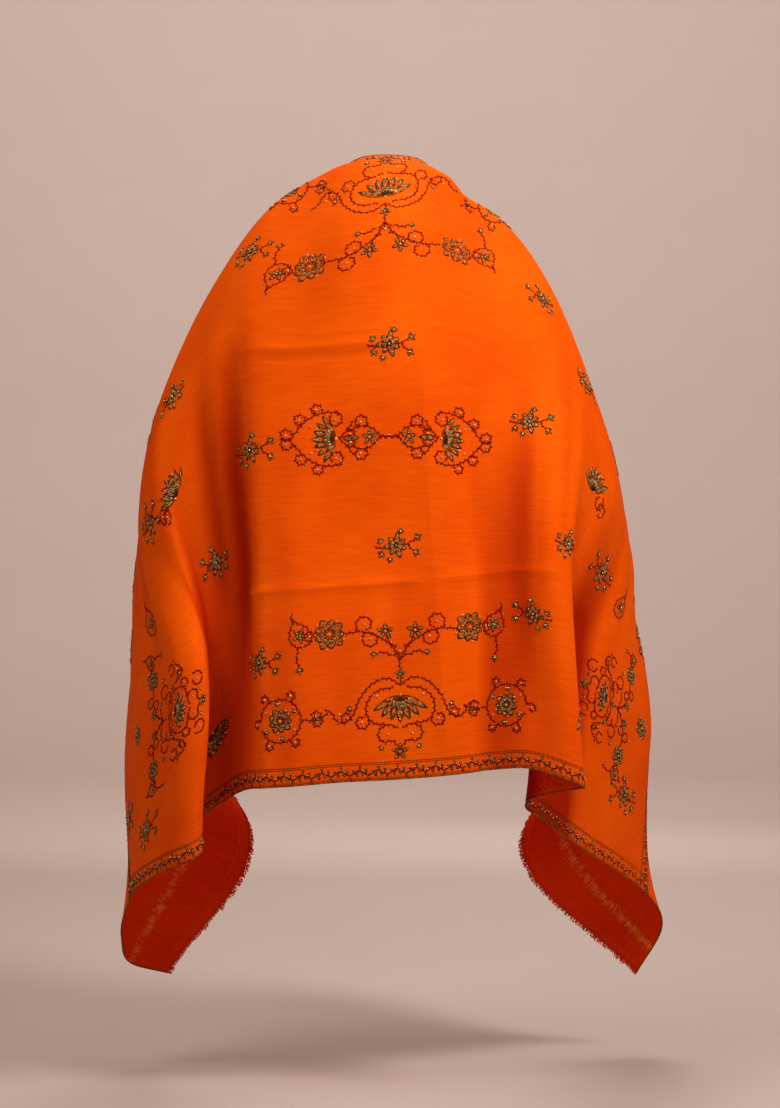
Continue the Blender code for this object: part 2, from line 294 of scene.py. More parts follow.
LEFT_HANG = (
    (0.000, 0.000, -0.108, -0.654, 0.000, -0.112, -0.927),
    (0.080, 0.080, -0.108, -0.658, 0.078, -0.112, -0.931),
    (0.150, 0.150, -0.108, -0.661, 0.147, -0.112, -0.937),
    (0.200, 0.197, -0.094, -0.664, 0.192, -0.096, -0.941),
    (0.235, 0.218, -0.066, -0.667, 0.209, -0.068, -0.944),
    (0.280, 0.238, -0.042, -0.680, 0.232, -0.040, -0.954),
    (0.330, 0.266, -0.030, -0.702, 0.272, -0.018, -0.982),
    (0.365, 0.278, -0.030, -0.720, 0.302, -0.012, -1.003),
    (0.395, 0.279, -0.048, -0.735, 0.312, -0.036, -1.020),
    (0.430, 0.270, -0.066, -0.748, 0.290, -0.062, -1.034),
    (0.455, 0.266, -0.082, -0.756, 0.277, -0.080, -1.034),
    (0.485, 0.282, -0.094, -0.768, 0.292, -0.092, -1.045),
    (0.530, 0.312, -0.078, -0.785, 0.325, -0.070, -1.062),
    (0.600, 0.355, -0.022, -0.810, 0.362, -0.012, -1.085),
    (0.700, 0.395, 0.068, -0.842, 0.392, 0.083, -1.112),
    (0.800, 0.413, 0.165, -0.880, 0.410, 0.180, -1.137),
    (0.900, 0.372, 0.275, -0.955, 0.433, 0.255, -1.209),
    (0.950, 0.316, 0.325, -1.005, 0.425, 0.298, -1.255),
    (1.000, 0.232, 0.365, -1.060, 0.365, 0.330, -1.278),
)


# %% Read the tables as smooth curves
def smooth_read(knots, values, places):
    """Read a smooth curve through values at knots. Places past either end read the end value."""
    gaps = np.diff(knots)[:, None]
    slopes = np.diff(values, axis=0) / gaps
    tangents = np.empty_like(values)
    tangents[0] = slopes[0]
    tangents[-1] = slopes[-1]
    tangents[1:-1] = (gaps[1:] * slopes[:-1] + gaps[:-1] * slopes[1:]) / (gaps[1:] + gaps[:-1])
    places = np.clip(places, knots[0], knots[-1])
    before = np.clip(np.searchsorted(knots, places, side="right") - 1, 0, len(knots) - 2)
    gap = gaps[before]
    u = (places - knots[before])[:, None] / gap
    start = values[before] * (1 + 2 * u) * (1 - u) ** 2 + tangents[before] * gap * u * (1 - u) ** 2
    end = values[before + 1] * u**2 * (3 - 2 * u) + tangents[before + 1] * gap * u**2 * (u - 1)
    return start + end


def joined_table(left, right, out_columns):
    """Both sides' rows by signed run: the knots, and the other columns as one array."""
    left = np.array(left)[:0:-1].copy()
    right = np.array(right)
    left[:, 0] *= -1
    for column in out_columns:
        left[:, column] *= -1
    rows = np.concatenate((left, right))
    return rows[:, 0], rows[:, 1:]


EDGE = joined_table(LEFT_EDGE, RIGHT_EDGE, (1,))
HANG = joined_table(LEFT_HANG, RIGHT_HANG, (1, 4))
ARM_KNOTS, ARM_ROWS = joined_table(LEFT_ARM, RIGHT_ARM, (2,))
ARM_SIDE = np.where(ARM_KNOTS < 0, -1.0, 1.0)
ARM_BEARING = np.radians(ARM_ROWS[:, 4])
ARM = np.column_stack(
    (ARM_ROWS[:, :4], ARM_SIDE * np.cos(ARM_BEARING), np.sin(ARM_BEARING), ARM_ROWS[:, 5])
)


def fall_lines(runs, drops):
    """The cloth's points, as an array of run by drop by xyz: one curve down the cloth a run."""
    arm = smooth_read(ARM_KNOTS, ARM, runs)
    ridge_drop = arm[:, 0]
    ridge = arm[:, 1:4]
    facing = arm[:, 4:6] / np.linalg.norm(arm[:, 4:6], axis=1)[:, None]
    reach = arm[:, 6]
    edge = smooth_read(*EDGE, runs)
    hang = smooth_read(*HANG, runs)
    outside = ridge.copy()
    outside[:, :2] += facing * reach[:, None]
    outside[:, 2] -= np.sqrt(ROUNDING**2 - reach**2)
    span = np.linalg.norm(ridge - edge, axis=1)
    swag = (ridge + edge) / 2
    swag[:, 2] -= SWAG_SHARE / 2 * np.sqrt(np.maximum(ridge_drop**2 - span**2, 0))
    lines = []
    for i in range(len(runs)):
        over = ridge_drop[i]
        knots = np.array((0, over / 2, over, over + ROUNDING, MID_DROP, WIDTH))
        points = np.stack((edge[i], swag[i], ridge[i], outside[i], hang[i, :3], hang[i, 3:]))
        lines.append(smooth_read(knots, points, drops))
    return np.array(lines)


def normals_at(runs, drops):
    """Unit normals of the cloth at the same points as fall_lines, out of its right side."""
    along_run = fall_lines(runs + NORMAL_REACH, drops) - fall_lines(runs - NORMAL_REACH, drops)
    along_drop = fall_lines(runs, drops + NORMAL_REACH) - fall_lines(runs, drops - NORMAL_REACH)
    normals = np.cross(along_drop, along_run)
    return normals / np.linalg.norm(normals, axis=2)[:, :, None]


print("centre back falls", np.round(fall_lines(np.zeros(1), np.linspace(0, 1, 3))[0, :, 2], 3))

# %% [markdown]
# ## Creases and soft folds
# Wool that was folded in a drawer keeps its storage creases: here one down the back, and two across
# it in a few stretches, each with a sharp line at its middle. Between them the cloth has soft
# troughs and ridges. Each one is placed in its own length, width and depth, so that no two
# are alike, and the sides that the photograph hides get similar ones.

# %% Tables of creases and folds
# Each row: run and drop where it starts and ends, half width, height (minus is a trough).
STORAGE_CREASES = (
    (0.030, 0.215, 0.082, 0.995, 0.029, 0.0070),
    (-0.215, 0.372, 0.040, 0.368, 0.008, 0.0032),
    (-0.130, 0.352, 0.030, 0.350, 0.005, 0.0012),
    (-0.190, 0.388, -0.010, 0.384, 0.006, -0.0014),
    (0.048, 0.340, 0.150, 0.330, 0.006, 0.0016),
    (-0.245, 0.712, 0.058, 0.704, 0.010, 0.0042),
    (0.058, 0.704, 0.290, 0.690, 0.009, 0.0026),
    (0.560, 0.655, 0.690, 0.668, 0.009, 0.0012),
    (-0.640, 0.362, -0.470, 0.372, 0.008, 0.0012),
)
SOFT_FOLDS = (
    (0.045, 0.060, 0.105, 0.135, 0.010, -0.0052),
    (0.070, 0.045, 0.130, 0.105, 0.011, 0.0050),
    (0.020, 0.085, 0.085, 0.175, 0.009, -0.0034),
    (0.110, 0.060, 0.165, 0.150, 0.012, -0.0045),
    (-0.050, 0.050, -0.105, 0.150, 0.013, -0.0024),
    (-0.205, 0.230, -0.250, 0.900, 0.027, -0.0086),
    (-0.272, 0.330, -0.300, 0.760, 0.022, -0.0060),
    (-0.120, 0.400, -0.135, 0.700, 0.030, 0.0026),
    (-0.060, 0.720, -0.075, 0.990, 0.024, -0.0022),
    (0.020, 0.560, 0.012, 0.960, 0.022, -0.0016),
    (0.192, 0.260, 0.207, 0.990, 0.026, -0.0066),
    (0.112, 0.330, 0.122, 0.700, 0.016, -0.0022),
    (0.234, 0.250, 0.252, 0.900, 0.022, 0.0052),
    (0.280, 0.300, 0.282, 0.700, 0.018, -0.0036),
    (0.445, 0.360, 0.555, 1.040, 0.030, -0.0060),
    (0.540, 0.400, 0.625, 1.000, 0.034, 0.0060),
    (0.118, 0.640, 0.122, 0.980, 0.016, 0.0022),
    (0.205, 0.700, 0.232, 0.990, 0.018, -0.0026),
    (-0.520, 0.430, -0.530, 1.060, 0.028, 0.0090),
    (-0.450, 0.560, -0.458, 1.080, 0.020, -0.0080),
    (-0.560, 0.420, -0.585, 0.760, 0.022, -0.0042),
    (-0.660, 0.440, -0.640, 0.980, 0.028, 0.0040),
    (-0.780, 0.430, -0.740, 0.900, 0.026, -0.0050),
    (-0.880, 0.420, -0.860, 0.820, 0.024, 0.0045),
    (0.520, 0.420, 0.545, 0.900, 0.022, -0.0042),
    (0.610, 0.400, 0.640, 0.780, 0.020, 0.0040),
    (0.700, 0.430, 0.725, 0.960, 0.026, -0.0050),
    (0.790, 0.440, 0.770, 0.860, 0.022, 0.0046),
    (0.890, 0.440, 0.850, 0.930, 0.026, -0.0048),
    (-0.350, 0.090, -0.520, 0.250, 0.024, -0.0050),
    (-0.600, 0.080, -0.760, 0.300, 0.026, 0.0050),
    (0.360, 0.080, 0.500, 0.240, 0.024, -0.0046),
    (0.580, 0.100, 0.770, 0.280, 0.028, 0.0052),
    (-0.930, 0.100, -0.900, 0.350, 0.020, -0.0038),
    (0.920, 0.080, 0.900, 0.330, 0.020, -0.0040),
)
# Painted shade at deep folds. Each row: run and drop where a deep fold starts and ends, half width, how
# much deeper it counts, and so how much painted shade it adds.
PAINTED_SHADE_FOLDS = (
    (0.478, 0.500, 0.605, 1.400, 0.042, 0.0135),
    (0.500, 0.820, 0.512, 1.250, 0.040, 0.0120),
    (-0.190, 0.400, -0.160, 1.200, 0.052, 0.0080),
    (-0.218, 0.260, -0.256, 1.080, 0.044, 0.0048),
    (-0.425, 0.520, -0.440, 1.120, 0.024, 0.0120),
    (0.197, 0.360, 0.210, 1.080, 0.028, 0.0030),
    (-0.320, 0.420, -0.345, 1.080, 0.050, 0.0030),
)
STORAGE_TAPER = 0.12
FOLD_TAPER = 0.35
# Each ripple: its turns along the run and the drop, in radians a metre, its shift and its height.
RIPPLES = ((9.0, 7.0, 0.4, 0.0009), (17.0, 5.0, 1.9, 0.0007), (6.0, 19.0, 4.1, 0.0006))


def along_and_across(run, drop, row):
    """For each place, how far along the row's line it is, from 0 to 1, and its distance from it."""
    start_run, start_drop, end_run, end_drop = row[:4]
    line_run = end_run - start_run
    line_drop = end_drop - start_drop
    length = math.hypot(line_run, line_drop)
    off_run = run - start_run
    off_drop = drop - start_drop
    along = (off_run * line_run + off_drop * line_drop) / length**2
    across = (off_run * line_drop - off_drop * line_run) / length
    return along, across


def ends_fade(along, taper):
    fade = np.clip(np.minimum(along, 1 - along) / taper, 0, 1)
    return fade * fade * (3 - 2 * fade)


def sharp_crease(run, drop, row):
    along, across = along_and_across(run, drop, row)
    half_width, height = row[4:]
    return height * ends_fade(along, STORAGE_TAPER) * np.exp(-np.abs(across) / half_width)


def soft_fold(run, drop, row):
    along, across = along_and_across(run, drop, row)
    half_width, height = row[4:]
    return height * ends_fade(along, FOLD_TAPER) * np.exp(-((across / half_width) ** 2))


def relief(run, drop):
    """Height of creases, folds and slow ripples over the plain drape."""
    height = np.zeros_like(run)
    for row in STORAGE_CREASES:
        height += sharp_crease(run, drop, row)
    for row in SOFT_FOLDS:
        height += soft_fold(run, drop, row)
    for along_run, along_drop, shift, size in RIPPLES:
        height += size * np.sin(along_run * run + shift) * np.sin(along_drop * drop + 2 * shift)
    return height


print(len(STORAGE_CREASES), "storage creases,", len(SOFT_FOLDS), "soft folds")

# %% [markdown]
# ## The cloth
# A sheet is best made as one surface of even squares, because cloth shades smoothly only over a
# regular mesh. The squares are smallest across the back and near the sharp creases. A Solidify
# modifier gives the sheet its two sides, and a UV map keeps (run, drop), so that the weave follows
# the drape.

# %% Build the sheet
BACK_REACH = 0.36
BACK_STEP = 0.0045
SIDE_STEP = 0.0090
# Each band of the drop: where it starts and ends, and its rows of squares.
DROP_BANDS = (
    (0.0, 0.325, 46), (0.325, 0.395, 20), (0.395, 0.682, 40), (0.682, 0.728, 14), (0.728, 1.0, 38)
)
CLOTH_WALL = 0.0010
CLOTH_RUNS = np.concatenate(
    (
        np.arange(-HALF_LENGTH, -BACK_REACH, SIDE_STEP),
        np.linspace(-BACK_REACH, BACK_REACH, round(2 * BACK_REACH / BACK_STEP) + 1),
        np.arange(HALF_LENGTH, BACK_REACH, -SIDE_STEP)[::-1],
    )
)
CLOTH_DROPS = np.concatenate(
    [np.linspace(start, end, count, endpoint=False) for start, end, count in DROP_BANDS] + [(WIDTH,)]
)
run_grid, drop_grid = np.meshgrid(CLOTH_RUNS, CLOTH_DROPS, indexing="ij")
CLOTH_POINTS = fall_lines(CLOTH_RUNS, CLOTH_DROPS)
CLOTH_POINTS = CLOTH_POINTS + (
    normals_at(CLOTH_RUNS, CLOTH_DROPS) * relief(run_grid, drop_grid)[:, :, None]
)


def grid_normals(points):
    normals = np.cross(np.gradient(points, axis=1), np.gradient(points, axis=0))
    return normals / np.linalg.norm(normals, axis=2)[:, :, None]


CLOTH_NORMALS = grid_normals(CLOTH_POINTS)

# %% [markdown]
# Painted shade in the folds. A deep fold of dyed wool looks darker and redder than its shade alone,
# because light that reaches its foot has met the cloth before, and this shade is painted into the
# wool's colour. Each point of the sheet gets a value of painted shade: how far it lies below the
# cloth beside it, with the folds of the table above counted deeper.

# %% Painted shade: how deep in a fold each point lies
def even_run_blur(grid, runs, reach):
    """Average along the run over a reach in metres, whatever the spacing of the sheet's lines."""
    near = np.searchsorted(runs, runs - reach)
    far = np.searchsorted(runs, runs + reach, side="right")
    sums = np.concatenate((np.zeros_like(grid[:1]), np.cumsum(grid, axis=0)))
    return (sums[far] - sums[near]) / (far - near)[:, None, None]


FOLD_REACHES = (0.028, 0.075)
PAINTED_SHADE_FULL_DEPTH = 0.0105
painted_shade_depth = np.zeros(CLOTH_POINTS.shape[:2])
for reach in FOLD_REACHES:
    level = even_run_blur(CLOTH_POINTS, CLOTH_RUNS, reach)
    level = even_run_blur(level, CLOTH_RUNS, reach / 2)
    painted_shade_depth += np.sum((level - CLOTH_POINTS) * CLOTH_NORMALS, axis=2) / len(FOLD_REACHES)
for row in PAINTED_SHADE_FOLDS:
    painted_shade_depth += soft_fold(run_grid, drop_grid, row)
# Painted shade value: 0.5 where the cloth is level, towards 1 in hollows and deep folds, towards 0 on
# ridges.
FOLD_PAINTED_SHADE = np.clip(painted_shade_depth / PAINTED_SHADE_FULL_DEPTH * 0.5 + 0.5, 0, 1)
print("hollows and ridges, in mm:", round(1000 * painted_shade_depth.max(), 1), round(1000 * painted_shade_depth.min(), 1))


# %% Lay the sheet
def sheet_mesh(name, points):
    """One face for each square of the grid, facing out of the cloth's right side."""
    rows, columns = points.shape[:2]
    corner = np.arange(rows * columns).reshape(rows, columns)
    faces = np.stack(
        (corner[:-1, :-1], corner[:-1, 1:], corner[1:, 1:], corner[1:, :-1]), axis=-1
    ).reshape(-1, 4)
    mesh = bpy.data.meshes.new(name)
    mesh.from_pydata(points.reshape(-1, 3).tolist(), [], faces.tolist())
    uv = mesh.uv_layers.new(name="cloth_plan")
    plan = np.stack((run_grid.ravel() / (2 * HALF_LENGTH) + 0.5, drop_grid.ravel() / WIDTH), axis=1)
    loops = np.empty(len(mesh.loops), np.int32)
    mesh.loops.foreach_get("vertex_index", loops)
    uv.data.foreach_set("uv", plan[loops].ravel())
    # Painted shade: one value a point, kept on the mesh for the wool material to darken the folds.
    painted_shade_layer = mesh.attributes.new("painted_shade_in_folds", "FLOAT", "POINT")
    painted_shade_layer.data.foreach_set("value", FOLD_PAINTED_SHADE.astype(np.float32).ravel())
    mesh.shade_smooth()
    return mesh


shawl = bpy.data.objects.new("shawl_cloth", sheet_mesh("shawl_cloth", CLOTH_POINTS))
bpy.context.scene.collection.objects.link(shawl)
print("cloth", len(shawl.data.polygons), "squares")

# %% [markdown]
# ## Wool
# The cloth is a fine plain weave, dyed orange, with a soft nap. A weave this fine is a bump, not a
# shape: two sets of waves at right angles on the UV map, one for each direction of yarn. Slubs,
# which are thick places in the yarn, make long faint streaks in colour and height. Sheen gives the
# pale edge that nap has when light grazes it. The wrong side is painted darker and redder, as
# painted shade for a side that faces away from the light, and on both sides the painted shade value
# that each point got above mixes in a deeper orange where the folds are deep: painted fold shade.

# %% The wool
YARNS_A_METRE = 760.0
YARNS_A_WAVE = 20
SLUBS_A_METRE = (24.0, 300.0, 1)
CLOUDS_A_METRE = 7.0
NAP_A_METRE = 900.0
WOOL_TONES = (0.37, 0.63)
PAINTED_SHADE_FROM = 0.52
PAINTED_SHADE_TO = 1.0
PAINTED_SHADE_SHARE = 0.85
WOOL_SURFACE = {
    "Roughness": 0.78,
    "Specular IOR Level": 0.06,
    "Sheen Weight": 0.02,
    "Sheen Roughness": 0.45,
    "Sheen Tint": (1.0, 0.42, 0.14, 1),
}
# The strength and the depth in metres of each bump.
WEAVE_BUMP = (0.22, 0.0003)
SLUB_BUMP = (0.12, 0.0004)
NAP_BUMP = (0.25, 0.0003)


def wool_material(name, dark, light, painted_shade_colour):
    made, nodes, link, shader = new_finish(name, WOOL_SURFACE)
    plan = add_node(nodes, "ShaderNodeUVMap", uv_map="cloth_plan")
    metres = add_node(nodes, "ShaderNodeMapping", Scale=(2 * HALF_LENGTH, WIDTH, 1))
    link(plan.outputs["UV"], metres.inputs["Vector"])

    slub_place = add_node(nodes, "ShaderNodeMapping", Scale=SLUBS_A_METRE)
    slubs = add_node(nodes, "ShaderNodeTexNoise", Scale=1.0, Detail=3.0, Roughness=0.6)
    cloud = add_node(nodes, "ShaderNodeTexNoise", Scale=CLOUDS_A_METRE, Detail=2.0)
    link(metres.outputs["Vector"], slub_place.inputs["Vector"])
    link(slub_place.outputs["Vector"], slubs.inputs["Vector"])
    link(metres.outputs["Vector"], cloud.inputs["Vector"])
    shade = add_node(nodes, "ShaderNodeMath", operation="ADD")
    halve = add_node(nodes, "ShaderNodeMath", operation="MULTIPLY")
    halve.inputs[1].default_value = 0.5
    link(slubs.outputs["Fac"], shade.inputs[0])
    link(cloud.outputs["Fac"], shade.inputs[1])
    link(shade.outputs["Value"], halve.inputs[0])
    tone = two_tone(nodes, dark, light, *WOOL_TONES)
    link(halve.outputs["Value"], tone.inputs["Fac"])
    # Painted shade: the deep orange is mixed into the base colour where the fold value is high.
    painted_shade_value = add_node(nodes, "ShaderNodeAttribute", attribute_name="painted_shade_in_folds")
    depth = nodes.new("ShaderNodeMapRange")
    depth.inputs["From Min"].default_value = PAINTED_SHADE_FROM
    depth.inputs["From Max"].default_value = PAINTED_SHADE_TO
    depth.inputs["To Max"].default_value = PAINTED_SHADE_SHARE
    painted_shade_mix = nodes.new("ShaderNodeMix")
    painted_shade_mix.data_type = "RGBA"
    painted_shade_mix.inputs["B"].default_value = (*painted_shade_colour, 1)
    link(painted_shade_value.outputs["Fac"], depth.inputs["Value"])
    link(depth.outputs["Result"], painted_shade_mix.inputs["Factor"])
    link(tone.outputs["Color"], painted_shade_mix.inputs["A"])
    link(painted_shade_mix.outputs["Result"], shader.inputs["Base Color"])

    waves = []
    for direction in ("X", "Y"):
        wave = add_node(
            nodes, "ShaderNodeTexWave", Scale=YARNS_A_METRE / YARNS_A_WAVE, Distortion=0.6, Detail=1.0
        )
        wave.wave_type = "BANDS"
        wave.bands_direction = direction
        link(metres.outputs["Vector"], wave.inputs["Vector"])
        waves.append(wave)
    weave = add_node(nodes, "ShaderNodeMath", operation="MULTIPLY")
    link(waves[0].outputs["Fac"], weave.inputs[0])
    link(waves[1].outputs["Fac"], weave.inputs[1])
    nap = add_node(nodes, "ShaderNodeTexNoise", Scale=NAP_A_METRE, Detail=2.0)
    link(metres.outputs["Vector"], nap.inputs["Vector"])
    lower = None
    for height, (strength, depth_in) in (
        (weave.outputs["Value"], WEAVE_BUMP),
        (slubs.outputs["Fac"], SLUB_BUMP),
        (nap.outputs["Fac"], NAP_BUMP),
    ):
        bump = add_node(nodes, "ShaderNodeBump", Strength=strength, Distance=depth_in)
        link(height, bump.inputs["Height"])
        if lower:
            link(lower.outputs["Normal"], bump.inputs["Normal"])
        lower = bump
    link(lower.outputs["Normal"], shader.inputs["Normal"])
    return made


ORANGE_DARK = (0.80, 0.098, 0.0012)
ORANGE_LIGHT = (0.91, 0.142, 0.002)
# Painted shade: the colour mixed into the wool, on both sides, at deep folds.
ORANGE_PAINTED_SHADE = (0.34, 0.006, 0.0004)
# The wrong side: the same wool painted darker and redder, as painted shade for a side that faces away
# from the light.
WRONG_SIDE_SHADED_DARK = (0.68, 0.040, 0.0015)
WRONG_SIDE_SHADED_LIGHT = (0.82, 0.066, 0.0015)
wool = wool_material("orange wool", ORANGE_DARK, ORANGE_LIGHT, ORANGE_PAINTED_SHADE)
wrong_side = wool_material("orange wool, wrong side", WRONG_SIDE_SHADED_DARK, WRONG_SIDE_SHADED_LIGHT, ORANGE_PAINTED_SHADE)
shawl.data.materials.append(wool)
shawl.data.materials.append(wrong_side)
wall = shawl.modifiers.new("two sides", "SOLIDIFY")
wall.thickness = CLOTH_WALL
wall.offset = 0
wall.material_offset = 1
wall.material_offset_rim = 0
deselect_all()
shawl.select_set(True)
bpy.context.view_layer.objects.active = shawl
bpy.ops.object.modifier_apply(modifier=wall.name)
print("cloth with both sides:", len(shawl.data.polygons), "faces")

# %% [markdown]
# ## Finding a place on the cloth
# Everything sewn on the shawl is drawn flat, in (run, drop), as an embroiderer marks it, and then
# carried to the drape. This helper reads the sheet's own points, so each stitch lies on the cloth
# that shows. It gives the point, the directions of run and drop there, and the way out.

# %% From flat to draped
def grid_read(grid, run, drop):
    """Read a grid of vectors between the sheet's lines."""
    i = np.clip(np.searchsorted(CLOTH_RUNS, run, side="right") - 1, 0, len(CLOTH_RUNS) - 2)
    k = np.clip(np.searchsorted(CLOTH_DROPS, drop, side="right") - 1, 0, len(CLOTH_DROPS) - 2)
    u = ((run - CLOTH_RUNS[i]) / (CLOTH_RUNS[i + 1] - CLOTH_RUNS[i]))[:, None]
    v = ((drop - CLOTH_DROPS[k]) / (CLOTH_DROPS[k + 1] - CLOTH_DROPS[k]))[:, None]
    near = grid[i, k] * (1 - u) + grid[i + 1, k] * u
    far = grid[i, k + 1] * (1 - u) + grid[i + 1, k + 1] * u
    return near * (1 - v) + far * v


def unit(vectors):
    return vectors / np.linalg.norm(vectors, axis=1)[:, None]


CLOTH_ALONG = np.gradient(CLOTH_POINTS, CLOTH_RUNS, axis=0)
CLOTH_DOWN = np.gradient(CLOTH_POINTS, CLOTH_DROPS, axis=1)


def on_cloth(run, drop):
    """Points on the middle of the cloth, with unit vectors along run, along drop and outwards."""
    point = grid_read(CLOTH_POINTS, run, drop)
    along = unit(grid_read(CLOTH_ALONG, run, drop))
    out = unit(grid_read(CLOTH_NORMALS, run, drop))
    along = unit(along - np.sum(along * out, axis=1)[:, None] * out)
    down = unit(np.cross(along, out))
    flip = np.sign(np.sum(down * grid_read(CLOTH_DOWN, run, drop), axis=1))[:, None]
    return point, along, down * flip, out


check_point = on_cloth(np.array((0.0,)), np.array((0.5,)))
print("middle of the back", np.round(check_point[0][0], 3), "faces", np.round(check_point[3][0], 2))

# %% [markdown]
# ## One stitch and one bead
# The embroidery is thousands of short stitches. Each is modelled once: a small bead of thread,
# thick in the middle and pointed where it goes through the cloth. The seed bead is a small ball,
# flattened where it sits. Both are made at the origin, one unit long, and then copied along the
# design with their own place, direction and size, and joined into one mesh for each thread.

# %% Model the stitch and the bead
STITCH_SIDES = 4
STITCH_MIDDLE = 0.30
STITCH_POINT = (1 - STITCH_MIDDLE) / 2
FACES_AN_END = 0.9


def lowest_first(corners):
    """The same triangle, told from its lowest corner number on."""
    start = corners.index(min(corners))
    return corners[start:] + corners[:start]


def read_mesh(source):
    """The corner points and triangles of a small modelled object, which is then removed."""
    bpy.ops.object.mode_set(mode="EDIT")
    bpy.ops.mesh.select_all(action="SELECT")
    bpy.ops.mesh.quads_convert_to_tris()
    bpy.ops.mesh.normals_make_consistent(inside=False)
    bpy.ops.object.mode_set(mode="OBJECT")
    points = np.array([vertex.co[:] for vertex in source.data.vertices])
    # Extruding adds its faces in an order that changes from run to run, so they are sorted.
    faces = sorted(lowest_first(face.vertices[:]) for face in source.data.polygons)
    bpy.data.objects.remove(source)
    return points, np.array(faces)


deselect_all()
bpy.ops.mesh.primitive_cylinder_add(
    vertices=STITCH_SIDES,
    radius=0.5,
    depth=STITCH_MIDDLE,
    end_fill_type="NGON",
    rotation=(0, math.pi / 2, 0),
)
stitch = bpy.context.object
bpy.ops.object.transform_apply(rotation=True)
bpy.ops.object.mode_set(mode="EDIT")
bpy.ops.mesh.select_mode(type="FACE")
for end_side in (-1, 1):
    bpy.ops.mesh.select_all(action="DESELECT")
    bpy.ops.object.mode_set(mode="OBJECT")
    for face in stitch.data.polygons:
        face.select = face.normal.x * end_side > FACES_AN_END
    bpy.ops.object.mode_set(mode="EDIT")
    bpy.ops.mesh.extrude_region_move(TRANSFORM_OT_translate={"value": (STITCH_POINT * end_side, 0, 0)})
    bpy.ops.mesh.merge(type="CENTER")
bpy.ops.object.mode_set(mode="OBJECT")
STITCH = read_mesh(stitch)

deselect_all()
bpy.ops.mesh.primitive_ico_sphere_add(subdivisions=1, radius=0.5)
bead = bpy.context.object
BEAD = read_mesh(bead)
print("stitch", len(STITCH[1]), "faces; bead", len(BEAD[1]), "faces")


# %% Copy them over the cloth
sewn_on = []


def sewn_piece(name, points, faces, finish):
    """One object from arrays of points and triangles, kept in the list of what is sewn on."""
    mesh = bpy.data.meshes.new(name)
    mesh.vertices.add(len(points))
    mesh.vertices.foreach_set("co", points.astype(np.float32).ravel())
    mesh.loops.add(faces.size)
    mesh.loops.foreach_set("vertex_index", faces.astype(np.int32).ravel())
    mesh.polygons.add(len(faces))
    mesh.polygons.foreach_set("loop_start", np.arange(len(faces), dtype=np.int32) * faces.shape[1])
    mesh.update(calc_edges=True)
    mesh.shade_smooth()
    mesh.materials.append(finish)
    made = bpy.data.objects.new(name, mesh)
    bpy.context.scene.collection.objects.link(made)
    sewn_on.append(made)
    print(name, len(faces), "faces")
    return made


def copies_on_cloth(name, shape, rows, height, finish, side=1):
    """Lay copies of a shape on the cloth. Each row: run, drop, heading, length, width, thickness."""
    rows = np.array(rows)
    runs, drops, headings = rows[:, :3].T
    lengths, widths, thicknesses = rows[:, 3:].T[:, :, None]
    point, along, down, out = on_cloth(runs, drops)
    turn = np.cos(headings)[:, None]
    tilt = np.sin(headings)[:, None]
    forward = along * turn + down * tilt
    sideways = down * turn - along * tilt
    shape_points, shape_faces = shape
    centre = point + out * side * height
    x, y, z = shape_points.T
    laid = (
        centre[:, None, :]
        + forward[:, None, :] * (lengths * x)[:, :, None]
        + sideways[:, None, :] * (widths * y)[:, :, None]
        + out[:, None, :] * (thicknesses * z)[:, :, None]
    )
    step = np.arange(len(rows))[:, None, None] * len(shape_points)
    faces = shape_faces[None] + step
    # Cloth directions are left-handed, so each copy is mirrored and its faces are turned back.
    if np.linalg.det(np.stack((forward[0], sideways[0], out[0]))) < 0:
        faces = faces[:, :, ::-1]
    return sewn_piece(name, laid.reshape(-1, 3), faces.reshape(-1, 3), finish)


# %% [markdown]
# ## The embroiderer's marks
# The design is built as it is sewn. A vine is a line of dark red stitches with a thorn stitch to
# each side in turn, and every fifth thorn is gold. A petal is two dark olive strands that bow apart
# in the middle and meet at its tip, with strands of antique gold between them. Small pale beads sit
# in the flowers. All of these are gathered in lists, as flat marks: kind, place, heading, length and
# width. Each motif below is made of them.

# %% Marks and how a motif is set down
VINE_STEP = 0.0046
VINE_WIDTH = 0.0020
VINE_OVERLAP = 1.35
THORN_LENGTH = 0.0048
THORN_WIDTH = VINE_WIDTH * 0.8
THORN_MIDDLE = THORN_LENGTH * 0.40
THORN_LEAN = math.radians(58)
GOLD_THORN = 5
STRAND_WIDTH = 0.0016
STRAND_OVERLAP = 1.12
OUTLINE_WIDTH = 0.0017
BEAD_SIZE = 0.0032
# How far a strand bows out at even steps from its foot to its tip.
LONG_BOW = (0.0, 0.92, 0.78, 0.0)
SHORT_BOW = (0.0, 1.0, 0.0)
SHORT_STRAND = 0.0100
# A petal's gold strands: where they start, how long they are and how far they spread.
INNER_START = 0.16
INNER_LENGTH = 0.76
INNER_SPREAD = 0.56
CURL_POINTS = 10
CURL_TIGHTENS = 0.30
CURL_STEP = 0.44
marks = {"vine": [], "gold": [], "olive": [], "bead": []}


def towards(angle):
    return np.array((math.cos(angle), math.sin(angle)))


def smooth_path(points, step=VINE_STEP):
    """A smooth path through a few flat points, in even steps."""
    points = np.array(points, float)
    reach = np.concatenate(((0,), np.cumsum(np.linalg.norm(np.diff(points, axis=0), axis=1))))
    fine = smooth_read(reach, points, np.linspace(0, reach[-1], 24 * len(points)))
    length = np.concatenate(((0,), np.cumsum(np.linalg.norm(np.diff(fine, axis=0), axis=1))))
    count = max(2, round(length[-1] / step) + 1)
    places = np.linspace(0, length[-1], count)
    return np.stack([np.interp(places, length, fine[:, axis]) for axis in range(2)], axis=1)


